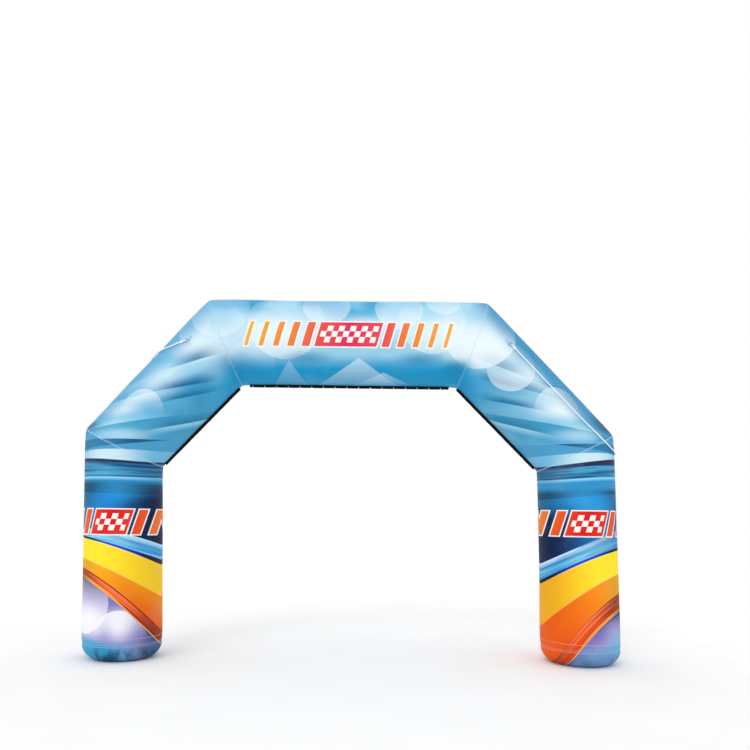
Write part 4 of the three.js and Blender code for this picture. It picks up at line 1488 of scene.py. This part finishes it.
def stitch_tree():
    """A tree that lays stitches at a pitch along lines, each turned the way that its line says."""
    tree = bpy.data.node_groups.new("stitches", "GeometryNodeTree")
    tree.interface.new_socket("Lines", in_out="INPUT", socket_type="NodeSocketGeometry")
    for size in ("Pitch", "Thread", "Length"):
        tree.interface.new_socket(size, in_out="INPUT", socket_type="NodeSocketFloat")
    tree.interface.new_socket("Finish", in_out="INPUT", socket_type="NodeSocketMaterial")
    tree.interface.new_socket("Stitches", in_out="OUTPUT", socket_type="NodeSocketGeometry")

    def node(kind, **settings):
        made = tree.nodes.new(kind)
        for key, value in settings.items():
            setattr(made, key, value)
        return made

    given = node("NodeGroupInput")
    spaced = node("GeometryNodeResampleCurve", mode="LENGTH")
    points = node("GeometryNodeCurveToPoints", mode="EVALUATED")
    way = node("GeometryNodeInputNamedAttribute", data_type="FLOAT_VECTOR")
    way.inputs["Name"].default_value = "way"
    turn = node("FunctionNodeAlignRotationToVector", axis="Z")
    stitch = node("GeometryNodeMeshUVSphere")
    stitch.inputs["Segments"].default_value = 6
    stitch.inputs["Rings"].default_value = 3
    stitch.inputs["Radius"].default_value = 0.5
    size = node("ShaderNodeCombineXYZ")
    place = node("GeometryNodeInstanceOnPoints")
    finished = node("GeometryNodeSetMaterial")
    chain = [given, node("GeometryNodeMeshToCurve"), spaced, points, place]
    chain += [node("GeometryNodeRealizeInstances"), finished, node("NodeGroupOutput")]
    for before, after in zip(chain, chain[1:]):
        tree.links.new(before.outputs[0], after.inputs[0])
    for start, end in (
        (given.outputs["Pitch"], spaced.inputs["Length"]),
        (given.outputs["Thread"], size.inputs["X"]),
        (given.outputs["Thread"], size.inputs["Y"]),
        (given.outputs["Length"], size.inputs["Z"]),
        (given.outputs["Finish"], finished.inputs["Material"]),
        (way.outputs["Attribute"], turn.inputs["Vector"]),
        (stitch.outputs["Mesh"], place.inputs["Instance"]),
        (turn.outputs["Rotation"], place.inputs["Rotation"]),
        (size.outputs["Vector"], place.inputs["Scale"]),
    ):
        tree.links.new(start, end)
    return tree


def sewing_lines(name, lines):
    """A mesh of lines to sew along, with the way of the stitches at each of their points."""
    points, ways, edges = [], [], []
    for line, way in lines:
        first = len(points)
        points += [tuple(point) for point in line]
        ways += [tuple(direction) for direction in way]
        edges += [(k, k + 1) for k in range(first, len(points) - 1)]
    mesh = bpy.data.meshes.new(f"{name}_lines")
    mesh.from_pydata(points, edges, [])
    mesh.attributes.new("way", "FLOAT_VECTOR", "POINT").data.foreach_set("vector", np.array(ways).ravel())
    return mesh


def sew(name, lines, kind, finish):
    """One kind of stitches along lines of points, each with its own ways, as one plain mesh."""
    guide = add_object(f"{name}_guide", sewing_lines(name, lines))
    sewing = guide.modifiers.new("sewing", "NODES")
    sewing.node_group = STITCH_TREE
    inputs = dict(zip(("Pitch", "Thread", "Length"), STITCHES[kind]), Finish=finish)
    for socket in STITCH_TREE.interface.items_tree:
        if socket.name in inputs:
            sewing[socket.identifier] = inputs[socket.name]
    sewn = bpy.data.meshes.new_from_object(guide.evaluated_get(bpy.context.evaluated_depsgraph_get()))
    bpy.data.objects.remove(guide)
    sewn.polygons.foreach_set("use_smooth", [True] * len(sewn.polygons))
    piece = add_object(name, sewn)
    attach(piece, "root")


def closed_line(points):
    """A ring of points as a closed line, with the way along it at each point."""
    ways = np.roll(points, -1, axis=0) - np.roll(points, 1, axis=0)
    return np.vstack([points, points[:1]]), np.vstack([ways, ways[:1]])


def line_round(tube_name, distance, at_end):
    """A ring of points on a tube's cloth, at a distance from its first or its last seam."""
    tube = TUBES[tube_name]
    angles = np.linspace(0, 2 * math.pi, SEAM_POINTS, endpoint=False)
    reach = np.full(angles.shape, distance)
    if at_end:
        reach = tube_lengths(tube, angles) - distance
    return skin(tube, angles, reach)


def add_seams():
    """A welt in every seam between two tubes, with a row of stitches on both its sides."""
    welts = {"shoulder": [], "crown": []}
    rows = {"shoulder": [], "crown": []}
    threads = {"shoulder": PALE_THREAD, "crown": BLUE_THREAD}
    names = list(TUBES)
    for before, after in zip(names, names[1:]):
        sides = line_round(before, WELT_INSET, True), line_round(after, WELT_INSET, False)
        path = [Vector(point) for point in sum(sides) / 2]
        seam = "crown" if "beam" in (before, after) else "shoulder"
        welts[seam].append(bar(f"welt_{before}", path, WELTS[seam], 6, threads[seam], closed=True))
        rows[seam].append(closed_line(line_round(before, SEAM_ROW, True)))
        rows[seam].append(closed_line(line_round(after, SEAM_ROW, False)))
    for seam, finish in threads.items():
        welt = joined(f"{seam}_welts", welts[seam])
        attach(welt, "root")
        sew(f"{seam}_stitches", rows[seam], "seam", finish)


def cap_row(foot, seam):
    """A ring of points round a foot cap at the height of its stitches."""
    cap, _, _ = foot_rows(seam, FOOT_SEEDS[foot])
    heights = cap[:, 0, 2]
    above = int(np.searchsorted(heights, CAP_ROW))
    share = (CAP_ROW - heights[above - 1]) / (heights[above] - heights[above - 1])
    return cap[above - 1] * (1 - share) + cap[above] * share


def add_hems():
    """Two rows of stitches that hold each leg's hem, and one on its foot cap."""
    rows = []
    for foot, leg, at_end in (("foot_left", "leg_left", False), ("foot_right", "leg_right", True)):
        rows += [closed_line(line_round(leg, reach, at_end)) for reach in HEM_ROWS]
        rows.append(closed_line(cap_row(foot, TUBES[leg][at_end])))
    sew("hem_stitches", rows, "hem", PALE_THREAD)


def add_flap_stitches():
    """Pale bar tacks on the beam's flap, and a fine row along the sewn edge of each flap."""
    tacks, rows = [], []
    for tube_name, start, end in FLAPS.values():
        inner, length, along, out = flap_ways(tube_name)
        for face in (-1, 1):
            proud = np.array((0, face * (FLAP_THICKNESS / 2 + TACK_PROUD), 0))
            reach = np.arange(start + FLAP_ROW_INSET, length - end - FLAP_ROW_INSET, FLAP_ROW_STEP)
            sewn = inner + along * reach[:, None] + out * FLAP_ROW + proud
            rows.append((sewn, np.broadcast_to(along, sewn.shape)))
            if tube_name != "beam":
                continue
            for place in np.arange(start + TACK_INSETS[0], length - end - TACK_INSETS[1], TACK_PITCH):
                depths = np.linspace(*TACK_SPAN, TACK_POINTS)[:, None]
                tack = inner + along * place + out * depths + proud
                tacks.append((tack, np.broadcast_to(along, tack.shape)))
    sew("flap_tacks", tacks, "tack", PALE_THREAD)
    sew("flap_stitches", rows, "flap", DARK_THREAD)


def add_tab_stitches():
    """A box of stitches with a cross in it on each tab."""
    from_fold, from_end, from_side = TAB_BOX
    near, far, half = -from_fold, from_end - TAB_LENGTH, TAB_WIDTH / 2 - from_side
    corners = ((near, -half), (near, half), (far, half), (far, -half), (near, -half), (far, half))
    runs = [*zip(corners, corners[1:]), ((near, half), (far, -half))]
    lines = []
    for rig in RIGS.values():
        seat = tab_seat(rig)
        for start, end in runs:
            shares = np.linspace(0, 1, TAB_BOX_POINTS)[:, None]
            flat = np.array(start) * (1 - shares) + np.array(end) * shares
            points = [seat @ Vector((x, y, TAB_TOP)) for x, y in flat]
            lines.append((points, [points[-1] - points[0]] * len(points)))
    sew("tab_stitches", lines, "tab", PALE_THREAD)


BLACK_WEBBING = webbing("black_webbing_weave", "030304", "0b0b0d", "1b1b1e")
PALE_WEBBING = webbing("pale_webbing_weave", "7fb9dc", "b4daee", "7d9db2")
SATIN_STEEL = satin_steel()
PALE_THREAD = sewing_thread("pale_thread", "eef5f9", "cfdee8")
BLUE_THREAD = sewing_thread("blue_thread", "c4e8f7", "9fd3ec")
DARK_THREAD = sewing_thread("dark_thread", "1c1c1f", "2c2c2e")
STITCH_TREE = stitch_tree()

for order, flap_name in enumerate(FLAPS):
    add_flap(flap_name, order + FLAP_SEED)
for side_name in RIGS:
    add_ring(side_name)
    add_tab(side_name)
add_seams()
add_hems()
add_flap_stitches()
add_tab_stitches()


# ---- Floor and light ------------------------------------------------------------------------------

FLOOR_RADIUS = 120
FLOOR_SIDES = 96
SUN_PLACE = (-4, -9, 9)
SUN_AIM = (0, 0, 1.5)
SUN_POWER = 0.5
SUN_SPREAD = math.radians(25)  # so wide that its shadows are soft


def add_floor():
    graph = Graph("pale_floor")
    mottle = graph.noise(graph.place(), 1.5, 4.0)
    finish = graph.finish(graph.mix(mottle, "f4f4f4", "fafafa"), 0.9 + mottle * 0.05)
    angles = [2 * math.pi * k / FLOOR_SIDES for k in range(FLOOR_SIDES)]
    ring = [(FLOOR_RADIUS * math.cos(angle), FLOOR_RADIUS * math.sin(angle), 0) for angle in angles]
    floor = mesh_object("floor", ring, [tuple(range(FLOOR_SIDES))], finish)


def add_sun():
    sun = bpy.data.lights.new("key", "SUN")
    sun.energy = SUN_POWER
    sun.angle = SUN_SPREAD
    way = Vector(SUN_AIM) - Vector(SUN_PLACE)
    turned = way.to_track_quat("-Z", "Y").to_matrix().to_4x4()
    add_object("key", sun).matrix_world = Matrix.Translation(SUN_PLACE) @ turned


def light_studio():
    """Even white light from all round, and one soft sun from the front left."""
    world = bpy.data.worlds.new("studio")
    bpy.context.scene.world = world
    world.use_nodes = True
    sky = world.node_tree.nodes["Background"]
    sky.inputs["Color"].default_value = (1.0, 1.0, 1.0, 1.0)
    sky.inputs["Strength"].default_value = 1.0
    add_sun()
    bpy.context.scene.view_settings.view_transform = "Standard"


add_floor()
light_studio()

bpy.context.view_layer.update()
